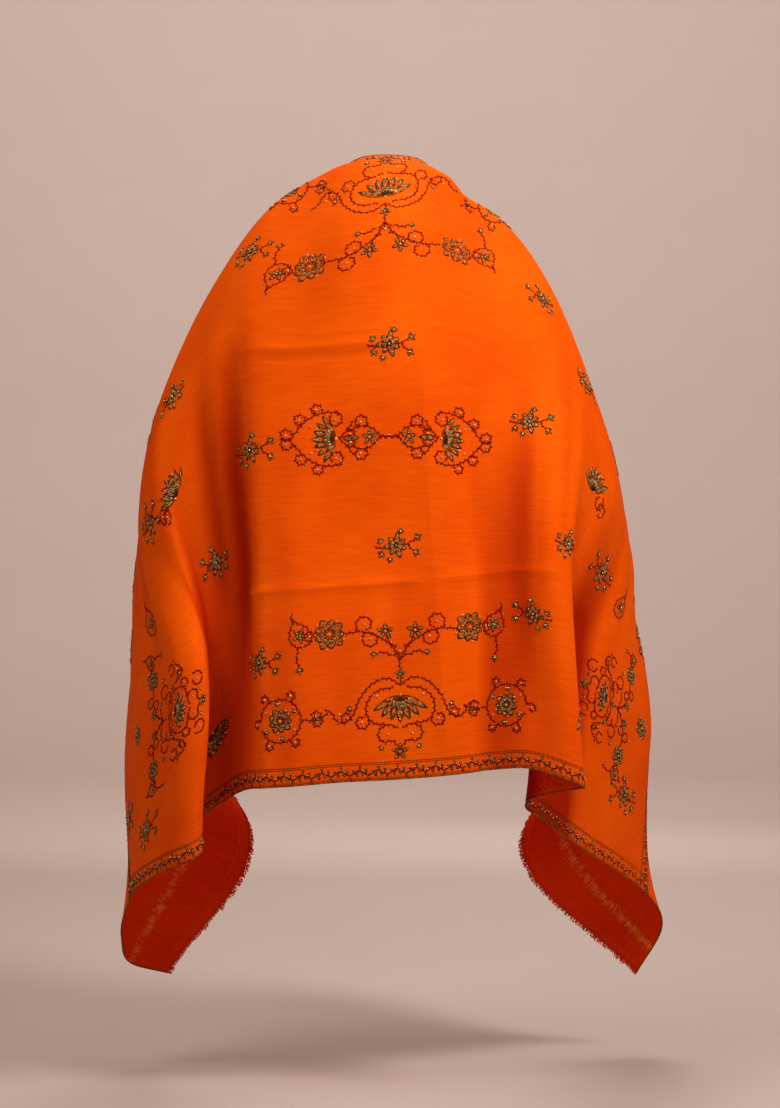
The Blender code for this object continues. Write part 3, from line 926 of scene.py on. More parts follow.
def vine(points, step=VINE_STEP):
    """A sewn line with thorns, every fifth of them gold, as marks in the motif's own plan."""
    path = smooth_path(points, step)
    made = []
    for k in range(len(path) - 1):
        middle = (path[k] + path[k + 1]) / 2
        stride = path[k + 1] - path[k]
        heading = math.atan2(stride[1], stride[0])
        made.append(("vine", *middle, heading, np.hypot(*stride) * VINE_OVERLAP, VINE_WIDTH))
        lean = heading + THORN_LEAN * (1 if k % 2 else -1)
        thorn = path[k] + THORN_MIDDLE * towards(lean)
        kind = "gold" if k % GOLD_THORN == 2 else "vine"
        made.append((kind, *thorn, lean, THORN_LENGTH, THORN_WIDTH))
    return made


def strands(base, heading, length, width, count, kind="gold"):
    """Strands of thread from base to tip, bowed apart in the middle: a twig's leaf or a petal."""
    base = np.array(base, float)
    forward = towards(heading)
    sideways = np.array((-forward[1], forward[0]))
    thickness = OUTLINE_WIDTH if kind == "olive" else STRAND_WIDTH
    profile = LONG_BOW if kind == "olive" and length > SHORT_STRAND else SHORT_BOW
    made = []
    for k in range(count):
        bow = (2 * k / (count - 1) - 1) * width / 2 if count > 1 else 0.0
        shares = np.linspace(0, 1, len(profile))
        knots = [base + forward * length * u + sideways * bow * v for u, v in zip(shares, profile)]
        for start, end in zip(knots, knots[1:]):
            middle = (start + end) / 2
            step = end - start
            turn = math.atan2(step[1], step[0])
            made.append((kind, *middle, turn, np.hypot(*step) * STRAND_OVERLAP, thickness))
    return made


def petal(base, heading, length, width, inner=3):
    """A petal: two dark olive strands round it, and strands of gold between them."""
    made = strands(base, heading, length, width, 2, "olive")
    forward = towards(heading)
    foot = base + forward * length * INNER_START
    return made + strands(foot, heading, length * INNER_LENGTH, width * INNER_SPREAD, inner)


def bead_at(x, y, size=BEAD_SIZE):
    return [("bead", x, y, 0.0, size, size)]


def curl(start, heading, radius, hand, turns=0.88):
    """A vine that rolls up on itself, with a bead at its heart. hand is 1 or -1."""
    start = np.array(start, float)
    centre = start + radius * np.array((-math.sin(heading), math.cos(heading))) * hand
    first = math.atan2(*(start - centre)[::-1])
    points = []
    for share in np.linspace(0, 1, CURL_POINTS):
        angle = first + hand * share * turns * 2 * math.pi
        size = radius * (1 - CURL_TIGHTENS * share)
        points.append(centre + size * towards(angle))
    return vine(points, min(VINE_STEP, radius * CURL_STEP)) + bead_at(*centre)


def sew(motif, run, drop, flip_run=1, flip_drop=1, turn=0.0, size=1.0, slant=0.0):
    """Set a motif down on the plan: sized, mirrored, slanted, turned, then moved."""
    cos = math.cos(turn)
    sin = math.sin(turn)
    for kind, x, y, heading, length, width in motif:
        x, y = x * size * flip_run, y * size * flip_drop
        y += slant * x
        across = math.cos(heading) * flip_run
        downward = math.sin(heading) * flip_drop + slant * across
        heading = math.atan2(downward, across) + turn
        place = (run + x * cos - y * sin, drop + x * sin + y * cos)
        marks[kind].append((*place, heading, length * size, width))


# %% [markdown]
# ## Motifs
# These are the ordinary flowers of such work: a round rosette, a lotus that opens towards the
# border, a paisley, a loose sprig, and a pointed medallion of scrolling vine round a flower. Each
# is drawn here round its own centre, with x along the cloth and y down it.

# %% Flowers
def rosette(radius, petals=9):
    made = bead_at(0, 0, BEAD_SIZE * 1.2)
    for k in range(petals):
        heading = 2 * math.pi * (k + 0.5) / petals
        out = towards(heading)
        reach = radius * (0.82 if k % 2 else 0.70)
        made += petal(out * radius * 0.15, heading, reach, radius * 0.60, 3)
        between = heading + math.pi / petals
        spot = towards(between) * radius * 0.86
        if k % 2:
            made += bead_at(*spot, BEAD_SIZE * 0.8)
    return made


def bud(x, y, heading, length):
    """Three small leaves and a bead at the end of a twig."""
    made = []
    for lean in (-0.75, 0.0, 0.75):
        reach = length * (1.0 if lean == 0 else 0.8)
        made += strands((x, y), heading + lean, reach, length * 0.34, 2, "olive")
        made += strands((x, y), heading + lean, reach, 0.0, 1)
    made += bead_at(x + math.cos(heading) * length * 0.35, y + math.sin(heading) * length * 0.35)
    return made


# Each petal: its lean in radians, then its length and width as shares of the lotus's size.
LOTUS_PETALS = ((0.0, 0.98, 0.32), (0.34, 0.94, 0.30), (-0.34, 0.94, 0.30), (0.70, 1.00, 0.28),
                (-0.70, 1.00, 0.28), (1.04, 1.08, 0.25), (-1.04, 1.08, 0.25))
LOTUS_STRANDS = (0.17, -0.17, 0.53, -0.53, 0.90, -0.90)
LOTUS_BEADS = (0.0, 0.54, -0.54)


def lotus(size):
    """Opens towards plus y, the nearer border: long petals that fan out from one foot."""
    made = []
    foot = np.array((0.0, -0.55 * size))
    for lean, reach, wide in LOTUS_PETALS:
        heading = math.pi / 2 + lean
        out = towards(heading)
        start = foot + out * size * 0.10
        made += petal(start, heading, size * reach * 0.94, size * wide, 3)
    for lean in LOTUS_STRANDS:
        heading = math.pi / 2 + lean
        made += strands(foot + (0, 0.1 * size), heading, size * 0.74, 0.0, 1, "olive")
    for lean in LOTUS_BEADS:
        heading = math.pi / 2 + lean
        made += bead_at(math.cos(heading) * size * 0.80, math.sin(heading) * size * 0.80 - 0.45 * size)
    return made + bead_at(0, -0.52 * size, BEAD_SIZE * 1.2)


def paisley(size):
    """A drop of vine with its tip curved over, round a small flower."""
    outline = (
        (0.10, -0.62), (0.30, -0.30), (0.42, 0.08), (0.26, 0.42), (-0.06, 0.52),
        (-0.36, 0.34), (-0.42, 0.0), (-0.26, -0.28), (0.0, -0.46), (0.22, -0.70), (0.10, -0.86),
    )
    made = vine([(x * size, y * size) for x, y in outline])
    for k in range(5):
        made += petal((0, 0.04 * size), math.pi * (0.5 + 0.4 * k), size * 0.32, size * 0.17, 2)
    return made + bead_at(0, 0.04 * size, BEAD_SIZE * 1.1)


def sprig():
    made = []
    for k in range(7):
        heading = 2 * math.pi * k / 7 + 0.35
        reach = 0.0195 if k % 2 else 0.0160
        made += petal((0, 0), heading, reach, 0.0098, 3)
    made += bead_at(0, 0, BEAD_SIZE * 1.2)
    made += vine(((-0.010, 0.001), (-0.020, 0.004), (-0.031, 0.000)))
    made += bud(-0.019, 0.009, 2.3, 0.0105) + bud(-0.021, -0.004, -2.2, 0.0100)
    made += vine(((0.012, 0.000), (0.020, -0.004), (0.028, -0.009)))
    made += vine(((0.017, 0.000), (0.023, 0.006), (0.027, 0.009)))
    made += bud(0.028, -0.009, -0.6, 0.0110) + bud(0.026, 0.009, 0.5, 0.0105)
    made += bud(-0.008, 0.017, 1.9, 0.0090) + bud(0.006, -0.017, -1.4, 0.0090)
    return made


def small_flower(radius):
    made = bead_at(0, 0)
    for k in range(5):
        heading = 2 * math.pi * k / 5 - math.pi / 2
        out = towards(heading)
        made += petal(out * radius * 0.18, heading, radius * 0.86, radius * 0.52, 2)
    return made


def shifted(motif, x, y, turn=0.0):
    """A motif set inside another: turned, then moved."""
    cos = math.cos(turn)
    sin = math.sin(turn)
    return [
        (kind, x + a * cos - b * sin, y + a * sin + b * cos, heading + turn, length, width)
        for kind, a, b, heading, length, width in motif
    ]


def both_sides(motif):
    """The motif with its mirror image across x = 0."""
    mirrored = [
        (kind, -x, y, math.pi - heading, length, width) for kind, x, y, heading, length, width in motif
    ]
    return motif + mirrored


# %% Medallions
def pointed_medallion():
    """A flower in scrolling vine, its point to minus x and its stem to plus x."""
    made = shifted(lotus(0.034), -0.014, 0.0, math.pi / 2)
    made += shifted(small_flower(0.011), 0.050, 0.0)
    made += vine(((-0.070, 0.0), (-0.058, 0.0)))
    for side in (-1, 1):
        made += vine(((-0.058, 0.0), (-0.050, side * 0.010), (-0.040, side * 0.022),
                      (-0.024, side * 0.033), (-0.004, side * 0.037), (0.010, side * 0.034)))
        made += curl((-0.054, side * 0.007), side * 1.7, 0.0088, side)
        made += curl((-0.036, side * 0.026), side * 1.5, 0.0085, side)
        made += curl((-0.016, side * 0.036), side * 0.9, 0.0080, side)
        made += curl((0.018, side * 0.010), side * 0.9, 0.0068, -side)
        made += curl((0.004, side * 0.037), side * -0.1, 0.0105, -side)
        made += vine(((0.066, 0.0), (0.054, side * 0.012), (0.038, side * 0.016), (0.022, side * 0.009)))
        made += curl((0.044, side * 0.014), side * 0.7, 0.0098, side)
        made += vine(((0.008, 0.0), (0.018, side * 0.010), (0.028, side * 0.024)))
        made += bead_at(-0.030, side * 0.018) + bead_at(0.034, side * 0.026)
    made += vine(((0.066, 0.0), (0.078, 0.0), (0.090, 0.0)))
    made += petal((0.012, 0.0), 0.0, 0.024, 0.009, 3)
    return made


RING_CURLS = (0.0, 1.05, 2.1, 4.2, 5.25)
RING_BUDS = (0.55, 1.6, 3.6, 4.75)


def ring_medallion():
    """A flower in a round of vine, with short scrolls on its outside."""
    made = rosette(0.0205)
    ring = [(0.032 * math.cos(a), 0.032 * math.sin(a)) for a in np.linspace(0.4, 6.3, 16)]
    made += vine(ring)
    for angle in RING_CURLS:
        made += curl(0.034 * towards(angle), angle - 1.0, 0.0072, 1, 0.8)
        made += bead_at(*(0.0262 * towards(angle + 0.5)), BEAD_SIZE * 0.85)
    for angle in RING_BUDS:
        made += bud(*(0.0262 * towards(angle)), angle + 1.7, 0.0075)
    made += vine(((-0.034, 0.0), (-0.046, 0.002), (-0.060, 0.000), (-0.072, -0.008)))
    made += curl((-0.046, 0.002), 2.2, 0.0092, 1) + curl((-0.048, 0.000), -2.2, 0.0088, -1)
    return made + petal((-0.052, 0.001), math.pi, 0.013, 0.0056, 2)


# %% The large unit: lotus, ogee vines, crossing stems and flowering branches
def lotus_unit():
    """Its border lies towards plus y."""
    half = vine(((0.0, -0.036), (0.016, -0.047), (0.040, -0.041), (0.060, -0.018), (0.072, 0.008),
                 (0.084, 0.017), (0.096, 0.011), (0.101, 0.000), (0.112, -0.006)))
    half += vine(((0.010, -0.033), (0.032, -0.030), (0.049, -0.012), (0.049, 0.008), (0.036, 0.020),
                  (0.022, 0.021)))
    half += curl((0.046, 0.013), 1.9, 0.0110, -1)
    half += vine(((0.004, 0.028), (0.014, 0.022), (0.028, 0.026), (0.033, 0.038), (0.024, 0.048),
                  (0.011, 0.046), (0.004, 0.054)))
    half += curl((0.082, 0.017), -0.4, 0.0085, -1, 0.8)
    half += bead_at(0.018, 0.036) + bead_at(0.034, -0.022) + bead_at(0.090, 0.003)
    half += vine(((0.002, -0.084), (0.014, -0.082), (0.024, -0.087), (0.036, -0.084)))
    half += bud(0.036, -0.084, -0.1, 0.009)
    half += vine(((0.006, -0.094), (0.016, -0.101), (0.020, -0.110)))
    half += shifted(small_flower(0.0125), 0.022, -0.118)
    half += vine(((0.001, -0.074), (0.008, -0.090), (0.028, -0.108), (0.052, -0.118), (0.086, -0.117)))
    half += curl((0.060, -0.119), -0.6, 0.0132, -1)
    half += curl((0.052, -0.118), 0.7, 0.0132, 1)
    half += shifted(rosette(0.0262), 0.104, -0.117)
    half += shifted(paisley(0.038), 0.147, -0.119, 0.2)
    half += curl((0.128, -0.108), 0.5, 0.0085, -1)
    half += vine(((0.149, -0.098), (0.152, -0.084), (0.148, -0.070)))
    half += bud(0.148, -0.070, 1.7, 0.011)
    half += bud(0.072, -0.006, 0.5, 0.009) + bud(0.026, 0.054, 0.9, 0.008)
    made = both_sides(half)
    made += lotus(0.042)
    made += vine(((0.0, -0.036), (0.001, -0.052), (-0.001, -0.068), (0.0, -0.087)))
    made += shifted(small_flower(0.0080), 0.0, -0.053)
    made += bead_at(0.0, -0.087, BEAD_SIZE * 1.4)
    made += shifted(small_flower(0.0125), 0.0, 0.063)
    return made


def scrolls():
    """Loose scrolls that fill the ground round a corner unit."""
    half = curl((0.032, -0.060), -0.5, 0.016, 1) + curl((0.064, -0.050), -0.2, 0.018, -1)
    half += curl((0.098, -0.034), 0.3, 0.015, 1) + curl((0.066, 0.040), 0.9, 0.017, 1)
    half += bud(0.050, -0.030, 0.4, 0.011) + bud(0.086, -0.070, -0.6, 0.011)
    return both_sides(half)


print("marks in the large unit:", len(lotus_unit()))

# %% [markdown]
# ## Setting out the design
# The plan is symmetrical, as embroiderers set it out: the large unit at the middle of each long
# edge, a row of medallions between, corner units over the arms, and sprigs strewn in the gaps.
# The marks are listed one by one, so most sprigs sit a few millimetres off a perfect grid. The sprigs
# out on the arms are sewn a little larger, and the unit at the nape has slipped to a slant.

# %% Set the motifs down
MIDDLE = 0.5


def above_and_below(motif, run, drop, **how):
    """Sew a motif near the bottom edge and its mirror image near the top edge."""
    sew(motif, run, drop, **how)
    sew(motif, run, 2 * MIDDLE - drop, flip_drop=-1, **how)


sew(lotus_unit(), 0.012, 0.896)
sew(lotus_unit(), -0.010, 0.104, flip_drop=-1, slant=-0.22)
for side in (-1, 1):
    sew(pointed_medallion(), -0.004 + side * 0.078, 0.500, flip_run=-side)
    above_and_below(ring_medallion(), 0.006 + side * 0.172, 0.903, flip_run=side)
    above_and_below(shifted(lotus(0.036), 0, 0, 0.6 * -side), side * 0.318, 0.900, flip_run=side)
    corner = lotus_unit() + scrolls()
    above_and_below(corner, 0.035 + side * 0.560, 0.765, turn=side * math.pi / 2, size=0.66)
    above_and_below(rosette(0.019), 0.035 + side * 0.695, 0.765)
    above_and_below(paisley(0.040), side * 0.578, 0.612, flip_run=side)
    above_and_below(ring_medallion(), side * 0.738, 0.600, flip_run=side, size=0.74)
    sew(pointed_medallion(), side * 0.700, 0.500, flip_run=side)
    sew(shifted(lotus(0.040), 0, 0, math.pi * 0.9 * side), side * 0.365, 0.495, flip_run=side)
    sew(curl((0, 0), 0.4, 0.013, 1) + curl((0.004, 0.03), 0.2, 0.012, -1), side * 0.400, 0.505)
# Each sprig: run, drop, and 1 or -1 for the side it leans to.
SPRIGS = (
    (-0.004, 0.372, 1), (0.006, 0.652, 1), (0.200, 0.466, 1), (-0.196, 0.513, 1),
    (0.222, 0.762, -1), (-0.200, 0.815, 1), (-0.305, 0.640, -1), (0.286, 0.640, 1),
    (-0.338, 0.366, -1), (0.330, 0.352, 1), (-0.620, 0.920, 1), (0.712, 0.884, -1),
    (-0.205, 0.205, 1), (0.235, 0.250, -1), (-0.590, 0.105, -1), (0.640, 0.110, 1),
    (-0.740, 0.330, 1), (0.745, 0.345, -1), (-0.460, 0.500, 1), (0.500, 0.590, -1),
    (-0.745, 0.880, 1), (-0.745, 0.100, 1), (0.755, 0.095, 1), (-0.480, 0.360, 1), (0.470, 0.400, 1),
)
ARM_FROM = 0.45
ARM_SIZE = 1.2
SPRIG_TURN = 0.12
for run, drop, flip in SPRIGS:
    size = ARM_SIZE if abs(run) > ARM_FROM else 1.0
    turn = SPRIG_TURN * math.sin(57 * run + 9 * drop)
    sew(sprig(), run, drop, flip_run=flip, turn=turn, size=size)
print({kind: len(rows) for kind, rows in marks.items()})

# %% [markdown]
# ## The border
# A frame runs round the embroidered field: two dark lines sewn 23.5 mm and 26.2 mm in from each
# long edge, and between them and the edge a fine vine with leaves and beads. Near each short end
# the frame turns and crosses the cloth, which leaves a plain band beyond it.

# %% Sew the border
BORDER_IN = 0.0235
BORDER_LINES = (0.0235, 0.0262)
BORDER_END = 0.815
BORDER_WAVE = 0.0034
BORDER_REPEAT = 0.028
# Each leaf: its place along the repeat, and 1 or -1 for the side it leans to.
BORDER_LEAVES = ((0.06, 1), (0.20, -1), (0.37, 1), (0.54, -1), (0.70, 1), (0.87, -1))
BORDER_POINTS = 7
LEAF_LEAN = 1.1
LEAF_START = 0.0012
LEAF_LENGTH = 0.0066
LEAF_WIDTH = 0.0034
BEAD_INWARD = 0.0024
BORDER_BEAD = BEAD_SIZE * 0.7
LINE_STITCH = 0.0060
LINE_LENGTH = LINE_STITCH * 1.3
INNER_LINE = (0.0010, 0.0008)
OUTER_LINE = (0.0011, 0.0009)
CORNER_GAP = 0.003
line_rows = []


def border_side(start, end, inward):
    """One straight side: its dark lines, and a vine beside them. inward is a unit flat vector."""
    start = np.array(start, float)
    end = np.array(end, float)
    inward = np.array(inward, float)
    length = np.linalg.norm(end - start)
    forward = (end - start) / length
    heading = math.atan2(forward[1], forward[0])
    for line_in in BORDER_LINES:
        for place in np.arange(0, length, LINE_STITCH):
            x, y = start + forward * place + inward * (line_in - BORDER_IN)
            line_rows.append((x, y, heading, LINE_LENGTH, *INNER_LINE))
    count = max(2, round(length / BORDER_REPEAT))
    for k in range(count):
        places = np.linspace(k, k + 1, BORDER_POINTS) / count * length
        wave = BORDER_WAVE * np.sin(2 * math.pi * np.linspace(0, 1, BORDER_POINTS))
        centre = start - inward * BORDER_IN * 0.5
        path = [centre + forward * p + inward * w for p, w in zip(places, wave)]
        for kind, *rest in vine(path):
            marks[kind].append(tuple(rest))
        for share, lift in BORDER_LEAVES:
            spot = centre + forward * (k + share) / count * length
            spot = spot + inward * BORDER_WAVE * math.sin(2 * math.pi * share)
            lean = heading + lift * LEAF_LEAN
            foot = spot + LEAF_START * towards(lean)
            if lift < 0:
                marks["bead"].append((*(spot + inward * BEAD_INWARD), 0.0, BORDER_BEAD, BORDER_BEAD))
            for kind, *rest in petal(foot, lean, LEAF_LENGTH, LEAF_WIDTH, 1):
                marks[kind].append(tuple(rest))


for edge_drop, inward in ((0.0, 1), (WIDTH, -1)):
    line_drop = edge_drop + inward * BORDER_IN
    border_side((-BORDER_END, line_drop), (BORDER_END, line_drop), (0, inward))
for side in (-1, 1):
    line_run = side * (BORDER_END - BORDER_IN)
    border_side((line_run, CORNER_GAP), (line_run, WIDTH - CORNER_GAP), (-side, 0))
    for place in np.arange(CORNER_GAP, WIDTH - CORNER_GAP, LINE_STITCH):
        line_rows.append((side * BORDER_END, place, math.pi / 2, LINE_LENGTH, *OUTER_LINE))
print("border line stitches:", len(line_rows))

# %% [markdown]
# ## Threads and beads as finishes
# The vine thread is a dull dark red. The gold is antique metal thread, olive brown, with bright
# flecks painted into its colour: painted glints, where a strand would turn a little to the light. The
# beads are small, pale and glossy.

# %% Thread materials
THREAD_TONES = (0.40, 0.62)
THREAD_FLECKS = 260.0
GOLD_GLINT_FLECKS = 420.0
YARN_FLECKS = 90.0
TWIST_A_METRE = 2400.0
SHINY_BELOW = 0.5
SHINY_SPECULAR = 0.5
DULL_SPECULAR = 0.08


def thread_material(name, dark, light, roughness, metallic=0.0, flecks_a_metre=THREAD_FLECKS):
    specular = SHINY_SPECULAR if roughness < SHINY_BELOW else DULL_SPECULAR
    surface = {"Roughness": roughness, "Metallic": metallic, "Specular IOR Level": specular}
    made, nodes, link, shader = new_finish(name, surface)
    place = nodes.new("ShaderNodeTexCoord")
    # Flecks of tone in each thread; in the gold their light end is painted glints.
    tone_flecks_and_glints = add_node(nodes, "ShaderNodeTexNoise", Scale=flecks_a_metre, Detail=2.0)
    tone = two_tone(nodes, dark, light, *THREAD_TONES)
    twist = add_node(nodes, "ShaderNodeTexNoise", Scale=TWIST_A_METRE)
    bump = add_node(nodes, "ShaderNodeBump", Strength=0.4, Distance=0.0002)
    link(place.outputs["Object"], tone_flecks_and_glints.inputs["Vector"])
    link(place.outputs["Object"], twist.inputs["Vector"])
    link(tone_flecks_and_glints.outputs["Fac"], tone.inputs["Fac"])
    link(tone.outputs["Color"], shader.inputs["Base Color"])
    link(twist.outputs["Fac"], bump.inputs["Height"])
    link(bump.outputs["Normal"], shader.inputs["Normal"])
    return made


vine_thread = thread_material("dark red thread", (0.18, 0.007, 0.004), (0.34, 0.016, 0.005), 0.85)
# Painted glints: the gold's light tone, in flecks, stands in for strands turned to the light; its dark
# olive brown is the thread's own colour.
gold_thread = thread_material(
    "antique gold thread", (0.085, 0.042, 0.010), (0.74, 0.48, 0.18), 0.38, 0.30, GOLD_GLINT_FLECKS
)
olive_thread = thread_material(
    "dark olive petal thread", (0.040, 0.020, 0.006), (0.11, 0.052, 0.013), 0.7
)
bead_glass = thread_material("pale gilt beads", (0.66, 0.36, 0.13), (0.95, 0.70, 0.38), 0.20, 0.30)
line_thread = thread_material("dark olive thread", (0.10, 0.040, 0.010), (0.20, 0.080, 0.018), 0.7)
edge_thread = thread_material("overcast edge thread", (0.15, 0.050, 0.012), (0.40, 0.15, 0.03), 0.7)
open_yarn = thread_material(
    "open pale yarn", (0.88, 0.13, 0.012), (1.0, 0.34, 0.09), 0.6, 0.0, YARN_FLECKS
)
loose_yarn = thread_material(
    "frayed yarn", (0.76, 0.060, 0.002), (0.95, 0.150, 0.006), 0.85, 0.0, YARN_FLECKS
)

# %% Lay the stitches
STITCH_LIFT = CLOTH_WALL / 2 + 0.0002
GOLD_LIFT = STITCH_LIFT + 0.0003
BEAD_LIFT = CLOTH_WALL / 2 + BEAD_SIZE * 0.35
VINE_THICKNESS = 0.0011
GOLD_THICKNESS = 0.0013
BEAD_THICKNESS = BEAD_SIZE * 0.8
for name, shape, kind, thickness, lift, finish in (
    ("vine_stitches", STITCH, "vine", VINE_THICKNESS, STITCH_LIFT, vine_thread),
    ("gold_stitches", STITCH, "gold", GOLD_THICKNESS, GOLD_LIFT, gold_thread),
    ("olive_stitches", STITCH, "olive", VINE_THICKNESS, STITCH_LIFT, olive_thread),
    ("seed_beads", BEAD, "bead", BEAD_THICKNESS, BEAD_LIFT, bead_glass),
):
    copies_on_cloth(name, shape, [(*row, thickness) for row in marks[kind]], lift, finish)
copies_on_cloth("border_lines", STITCH, line_rows, STITCH_LIFT, line_thread)

# %% [markdown]
# On the wrong side each stitch shows as a shorter, duller one. A fifth of the vine's and petals'
# marks, and every other stitch of the border's lines, are enough to draw the design there.

# %% The wrong side of the work
REVERSE_EVERY = 5
REVERSE_SMALLER = 0.8
REVERSE_THICKNESS = 0.0008
seen_behind = marks["vine"][::REVERSE_EVERY] + marks["olive"][::REVERSE_EVERY] + line_rows[::2]
reverse_rows = [
    (*row[:3], row[3] * REVERSE_SMALLER, row[4] * REVERSE_SMALLER, REVERSE_THICKNESS)
    for row in seen_behind
]
copies_on_cloth("reverse_stitches", STITCH, reverse_rows, STITCH_LIFT, line_thread, side=-1)

# %% [markdown]
# ## Overcast long edges
# The long edges are closed with thread that wraps over and over the raw edge, which leaves a narrow
# cord with a bead-like swell at each wrap. It is a tube along the edge whose radius swells at every
# other ring.

# %% Wrap the edges
WRAP_STEP = 0.0024
WRAP_RADII = (0.00095, 0.00135)
WRAP_SIDES = 6
# A direction that no tube of this script runs along, which sets where its first side faces.
SIDE_GUIDE = (0.31, 0.17, 0.93)


def tube(path, radii, sides):
    """An open tube round a path: its points, four-cornered faces, and rings of point numbers."""
    path = np.asarray(path)
    forward = unit(np.gradient(path, axis=0))
    across = unit(np.cross(forward, np.array(SIDE_GUIDE)))
    upward = np.cross(forward, across)
    angles = np.arange(sides) * 2 * math.pi / sides
    rings = path[:, None, :] + np.asarray(radii)[:, None, None] * (
        across[:, None, :] * np.cos(angles)[None, :, None]
        + upward[:, None, :] * np.sin(angles)[None, :, None]
    )
    index = np.arange(len(path) * sides).reshape(len(path), sides)
    following = np.roll(index, -1, axis=1)
    faces = np.stack((index[:-1], following[:-1], following[1:], index[1:]), axis=-1).reshape(-1, 4)
    return rings.reshape(-1, 3), faces, index


def capped_tube_triangles(path, radii, sides):
    """A tube with its faces cut into triangles, and a fan of triangles over each end."""
    points, faces, index = tube(path, radii, sides)
    triangles = np.concatenate((faces[:, [0, 1, 2]], faces[:, [0, 2, 3]]))
    caps = []
    for k in range(1, sides - 1):
        caps.append((index[0, 0], index[0, k + 1], index[0, k]))
        caps.append((index[-1, 0], index[-1, k], index[-1, k + 1]))
    return points, np.concatenate((triangles, np.array(caps)))


def joined_shapes(name, shapes, finish):
    points = []
    faces = []
    used = 0
    for shape_points, shape_faces in shapes:
        points.append(shape_points)
        faces.append(shape_faces + used)
        used += len(shape_points)
    return sewn_piece(name, np.concatenate(points), np.concatenate(faces), finish)


edge_shapes = []
for edge_drop in (0.0, WIDTH):
    edge_runs = np.linspace(-HALF_LENGTH, HALF_LENGTH, round(2 * HALF_LENGTH / WRAP_STEP) + 1)
    edge_path = on_cloth(edge_runs, np.full(len(edge_runs), edge_drop))[0]
    swell = np.where(np.arange(len(edge_runs)) % 2, *WRAP_RADII[::-1])
    edge_shapes.append(capped_tube_triangles(edge_path, swell, WRAP_SIDES))
joined_shapes("overcast_edges", edge_shapes, edge_thread)

# %% [markdown]
# ## The ends
# About 47 mm in from each short end, a band some 30 mm wide was woven open, so the warp shows there
# as a stripe of loose yarns drawn into small bundles. A row of stitches 10 mm in from the end holds
# the weave, and at the end itself the warp is left as a short uneven fringe.

# %% The open stripe and the stitched row
STRIPE_AT = 0.953
STRIPE_WIDE = 0.0310
STRIPE_PITCH = 0.0019
STRIPE_LEFT_OUT = 0.12
STRIPE_LENGTHS = (0.55, 1.10)
STRIPE_STRAY = 0.0025
STRIPE_YARN = (0.0016, 0.0011)
BUNDLE = 5
BUNDLE_LEAN = 0.07
YARN_LEAN = 0.06
ROW_AT = 0.990
ROW_PITCH = 0.0062
ROW_STITCH = (ROW_PITCH * 0.55, 0.0012, 0.0010)
ROW_START = 0.004
YARN_LIFT = STITCH_LIFT - 0.0001
chance = random.Random(20)
stripe_rows = []
stitched_rows = []
for side in (-1, 1):
    count = round(WIDTH / STRIPE_PITCH)
    for k in range(1, count):
        place = k * STRIPE_PITCH
        if chance.random() < STRIPE_LEFT_OUT:
            continue
        lean = ((k % BUNDLE) - (BUNDLE - 1) / 2) * BUNDLE_LEAN + chance.uniform(-YARN_LEAN, YARN_LEAN)
        long = STRIPE_WIDE * chance.uniform(*STRIPE_LENGTHS)
        place_in = side * (STRIPE_AT + chance.uniform(-STRIPE_STRAY, STRIPE_STRAY))
        stripe_rows.append((place_in, place, lean, long, *STRIPE_YARN))
    for place in np.arange(ROW_START, WIDTH - ROW_START, ROW_PITCH):
        stitched_rows.append((side * ROW_AT, place, math.pi / 2, *ROW_STITCH))
for name, rows in (("open_stripe", stripe_rows), ("stitched_row", stitched_rows)):
    for face_name, face_side in (("right_side", 1), ("wrong_side", -1)):
        copies_on_cloth(f"{name}_{face_name}", STITCH, rows, YARN_LIFT, open_yarn, face_side)
print("loose yarns:", len(stripe_rows), "stitches in the rows:", len(stitched_rows))

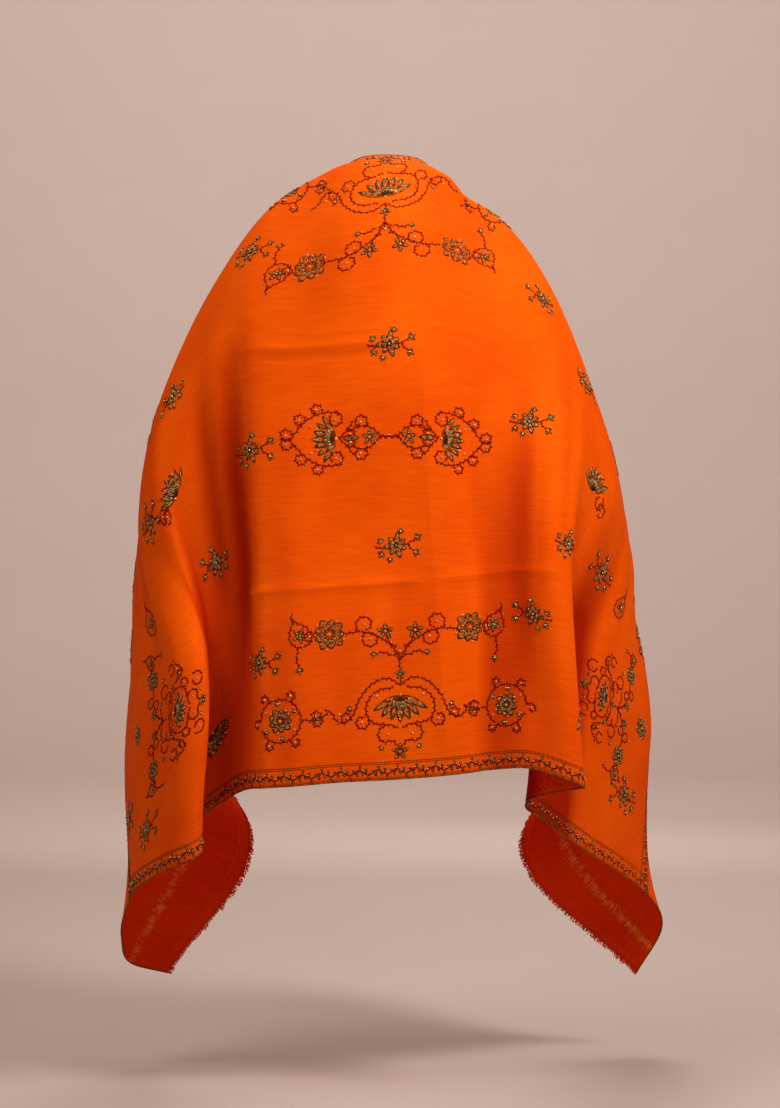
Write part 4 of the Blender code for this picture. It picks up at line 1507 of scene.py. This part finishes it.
# %% The frayed fringe
FRINGE_PITCH = 0.0010
YARN_RADIUS = 0.00080
YARN_POINTS = 4
YARN_SIDES = 3
YARN_TAPER = (1.25, 0.7)
YARN_ROOT = 0.001
YARN_WAVE = 0.0008
SHORTEST = 0.0035
LONGEST = 0.0084
FRINGE_LEAN = 0.45
FRINGE_LIFT = 0.25
FRINGE_DROOP = 0.25
NEW_TUFT = 0.12
FIRST_TUFT = 0.6
TUFT_FULLNESS = (0.15, 1.0)
YARN_UNEVEN = (0.7, 1.15)
WAVE_ALONG = 5
FIRST_YARN = 0.001


def frayed_end(name, side, seed):
    """Short yarns past one short edge, each with its own length, lean and wave."""
    luck = random.Random(seed)
    shapes = []
    places = np.arange(FIRST_YARN, WIDTH, FRINGE_PITCH)
    end_runs = np.full(len(places), side * HALF_LENGTH)
    point, along, down, out = on_cloth(end_runs, places)
    tuft = FIRST_TUFT
    for k in range(len(places)):
        if luck.random() < NEW_TUFT:
            tuft = luck.uniform(*TUFT_FULLNESS)
        length = SHORTEST + (LONGEST - SHORTEST) * tuft * luck.uniform(*YARN_UNEVEN)
        lean = luck.uniform(-FRINGE_LEAN, FRINGE_LEAN)
        lift = luck.uniform(-FRINGE_LIFT, FRINGE_LIFT)
        heading = along[k] * side + down[k] * lean + out[k] * lift
        heading = heading / np.linalg.norm(heading)
        root = point[k] - along[k] * side * YARN_ROOT
        path = []
        for share in np.linspace(0, 1, YARN_POINTS):
            wave = down[k] * math.sin(share * WAVE_ALONG + k) * YARN_WAVE
            droop = np.array((0, 0, -1)) * FRINGE_DROOP * length * share**2
            path.append(root + heading * length * share + wave + droop)
        radii = YARN_RADIUS * np.linspace(*YARN_TAPER, YARN_POINTS)
        shapes.append(capped_tube_triangles(np.array(path), radii, YARN_SIDES))
    return joined_shapes(name, shapes, loose_yarn)


fringe_left = frayed_end("frayed_fringe_left", -1, 3)
fringe_right = frayed_end("frayed_fringe_right", 1, 8)

# %% [markdown]
# ## Onto the frame
# Every piece rides on the frame's one body. The cloth, 2.0 m by 1.0 m when flat, stands for the
# three solid stretches, and the frayed fringes for their two solids; those solids are hidden.

# %% Hang every piece on the frame's body and hide the solids it stands for
for piece in (shawl, *sewn_on):
    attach(piece, "root")
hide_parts("shawl_left", "shawl_back", "shawl_right")
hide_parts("fringe_left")
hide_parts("fringe_right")
